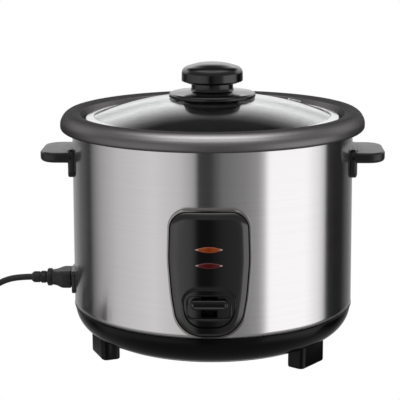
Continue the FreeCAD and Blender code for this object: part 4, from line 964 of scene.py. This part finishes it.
def sideLoop(distance, halfWidth, halfHeight, corner):
    # a rounded rectangle across the lead's axis
    return across(evenLoop(boxOutline(halfWidth, -halfHeight, halfHeight, corner, corner), 112), distance)


def inletMesh(look):
    # flange on the drum, its face, then the well down to its floor
    flange, well, face = look["flange"], look["well"], look["face"]
    centre = np.zeros(2)
    outline = boxOutline(flange[0], -flange[1], flange[1], flange[2], flange[2])
    angles = rayAngles(outline, centre, 160)
    outer = rayLoop(outline, centre, angles)
    mouth = rayLoop(boxOutline(well[0], -well[1], well[1], well[2], well[2]), centre, angles)

    def bent(loop, radius):
        return across(loop, np.sqrt(np.square(radius) - loop[:, 0] ** 2))

    floor = look["wellFloor"]
    rows = [
        bent(outer, drumRadius(outer[:, 1] + look["height"])), bent(outer, face - 0.9),
        bent(insetLoop(outer, 0.3), face - 0.3), bent(insetLoop(outer, 0.9), face)]
    rows += [bent(outer + (mouth - outer) * share, face) for share in (0.3, 0.6, 0.9)]
    rows += [
        bent(mouth, face - 0.6), across(mouth, floor), across(mouth * 0.5, floor), across(mouth * 0, floor),
        across(mouth * 0, floor - 2.5), across(mouth * 1.15, floor - 2.5),
        bent(mouth * 1.15, drumRadius(mouth[:, 1] + look["height"]) - 0.4)]
    return surfaceMesh("powerInlet", np.stack(rows) * mm, closeRows=True)


def bootMesh(look):
    # the boot's section turned, then its axis laid along -X at the inlet's height
    section = roundedLine(look["boot"], steps=6)
    grid = turnedGrid(section, np.linspace(0, 2 * math.pi, 64, endpoint=False))
    lying = np.stack([-grid[..., 2], grid[..., 1], grid[..., 0] + inlet["height"] * mm], -1)
    return surfaceMesh("leadBoot", lying, closeRows=True)


def plugMesh(look):
    # rounded rectangles across the plug's axis, which lies along -Y
    loops = []
    for y, halfWidth, halfHeight, corner, *own in look["rows"]:
        corner *= look["cornerShare"]
        loop = evenLoop(boxOutline(halfWidth, -halfHeight, halfHeight, corner, corner), 96)
        loops.append(np.insert(loop + [look["x"], *(own or [look["middle"]])], 1, y, 1))
    return loftMesh("leadPlug", loops)


def cordPiece(name, mesh, node, sharp=50.0):
    return addPiece(name, mesh, "power_cord", "cord_black", [node], sharp)


addPiece("powerInlet", inletMesh(inlet), "cooker_body", "satin_black", ["inlet_socket"])
connectorMesh = loftMesh("leadConnector", [sideLoop(*row) for row in connector["rows"]])
leadConnector = cordPiece("leadConnector", connectorMesh, "cord_connector")
leadBoot = cordPiece("leadBoot", bootMesh(connector), "cord_boot")
leadPlug = cordPiece("leadPlug", plugMesh(plug), "plug_body", 45.0)
print("inlet, connector and plug made")


# every piece of the frame gets its slot's finish, three of them their own
for part in frame["record"]["subparts"]:
    node = cadNodes[part["node"]]
    node.data.materials.clear()
    node.data.materials.append(finishes[part["material_slot"]])
ownFinish = {"cook_lever": "dark_steel", "inlet_screws": "dark_steel", "plug_pins": "plated_steel"}
for nodeName, finishName in ownFinish.items():
    cadNodes[nodeName].data.materials[0] = finishes[finishName]
print("finishes given to", len(cadNodes), "frame pieces")


studio = {
    "floorSize": 6.0, "floorTone": 1.0, "floorLevel": -0.3 * mm,
    # brightness by compass direction: degrees from straight behind the camera, right is positive
    "bands": [
        (-180, 1.1), (-168, 0.45), (-150, 0.30), (-135, 0.14), (-117, 0.03), (-111, 0.22), (-100, 0.45),
        (-80, 0.68), (-47, 0.85), (-25, 0.70), (-13.5, 0.46), (-10, 0.035), (0, 0.035), (9, 0.18), (28, 0.28),
        (38, 0.38), (43, 0.66), (47, 1.38), (82, 1.36), (97, 1.0), (103.5, 0.66), (106.5, 0.03), (118, 0.01),
        (131, 0.01), (150, 0.17), (168, 0.4), (180, 1.1)],
    # brightness by height (the sine of it): the wall behind the object, and the ceiling and front
    "behind": [
        (0.0, 1.0), (0.22, 0.95), (0.34, 1.7), (0.42, 1.35), (0.5, 0.75), (0.56, 0.3), (0.62, 0.05),
        (0.9, 0.05), (1.0, 0.6)],
    "ahead": [(0.0, 0.3), (0.45, 0.25), (0.75, 0.5), (0.88, 1.5), (0.97, 1.5), (1.0, 0.9)],
    "below": 0.24, "belowFrom": (0.38, 0.7), "horizon": (-0.02, 0.10), "backFrom": (0.1, 0.5),
}
lipLight = {"size": (1.9, 0.8), "power": 22.0, "rise": 118.0, "distance": 1.6, "aim": 0.2}


def makeFloor(look):
    # a wide flat sheet, lit from within so that nothing dims it
    side = look["floorSize"] / 2
    points = np.array([(-side, -side), (side, -side), (side, side), (-side, side)])
    mesh = bpy.data.meshes.new("studioFloor")
    mesh.from_pydata(np.hstack([points, np.full((4, 1), look["floorLevel"])]).tolist(), [], [(0, 1, 2, 3)])
    floor = link(bpy.data.objects.new("studioFloor", mesh))
    paper = bpy.data.materials.new("studioPaper")
    paper.use_nodes = True
    tree = Tree(paper.node_tree)
    glow = tree.add("Emission", {}, {"Strength": look["floorTone"]})
    tree.add("OutputMaterial", {}, {0: glow})
    mesh.materials.append(paper)
    floor.visible_glossy = False
    floor.visible_diffuse = False
    floor.visible_shadow = False


def soften(tree, value, low, high):
    # 0 below low, 1 above high, smooth between
    return tree.add("MapRange", {"interpolation_type": "SMOOTHSTEP"}, {0: value, 1: low, 2: high})


def makeWorld(look):
    # soft panels all round: brightness by compass direction below the horizon and by height above it, an even
    # tone far below, and plain white where nothing is in the way
    world = bpy.data.worlds.new("studio")
    bpy.context.scene.world = world
    world.use_nodes = True
    tree = Tree(world.node_tree)
    x, y, z = tree.axes(tree.place("Generated"))
    compass = x.maths("ARCTAN2", y * -1.0) / (2 * math.pi) + 0.5
    bands = tree.ramp(compass, [((angle + 180) / 360, tone) for angle, tone in look["bands"]])
    path = tree.add("LightPath", {}, {}).socket.node
    bounces = Wire(tree, path.outputs["Diffuse Depth"]) + Wire(tree, path.outputs["Glossy Depth"])
    straight = bounces.maths("LESS_THAN", 0.5)
    through = Wire(tree, path.outputs["Is Transmission Ray"])
    seen = Wire(tree, path.outputs["Is Camera Ray"]).maths("MAXIMUM", through)
    level = (x * x + y * y) ** 0.5
    back = soften(tree, y / level, *look["backFrom"])
    upper = tree.blend(back, tree.ramp(z, look["ahead"]), tree.ramp(z, look["behind"]))
    around = tree.blend(soften(tree, z, *look["horizon"]), bands, upper)
    around = tree.blend(soften(tree, z * -1.0, *look["belowFrom"]), around, (*[look["below"]] * 3, 1))
    colour = tree.blend(seen * straight, around, (1, 1, 1, 1))
    tree.add("OutputWorld", {}, {0: tree.add("Background", {}, {"Color": colour})})


def makeLipLight(look, receiver):
    # a soft panel high up, a little in front, for the pot's lip alone
    data = bpy.data.lights.new("lipLight", "AREA")
    data.shape = "RECTANGLE"
    data.size, data.size_y = look["size"]
    data.energy = look["power"]
    light = link(bpy.data.objects.new("lipLight", data))
    rise, distance = math.radians(look["rise"]), look["distance"]
    light.location = (0, distance * math.cos(rise), look["aim"] + distance * math.sin(rise))
    light.rotation_euler = (rise - math.pi / 2, 0, 0)
    group = bpy.data.collections.new("litByLipLight")
    group.objects.link(receiver)
    light.light_linking.receiver_collection = group


makeFloor(studio)
makeWorld(studio)
makeLipLight(lipLight, innerPot)
print("floor and light made")
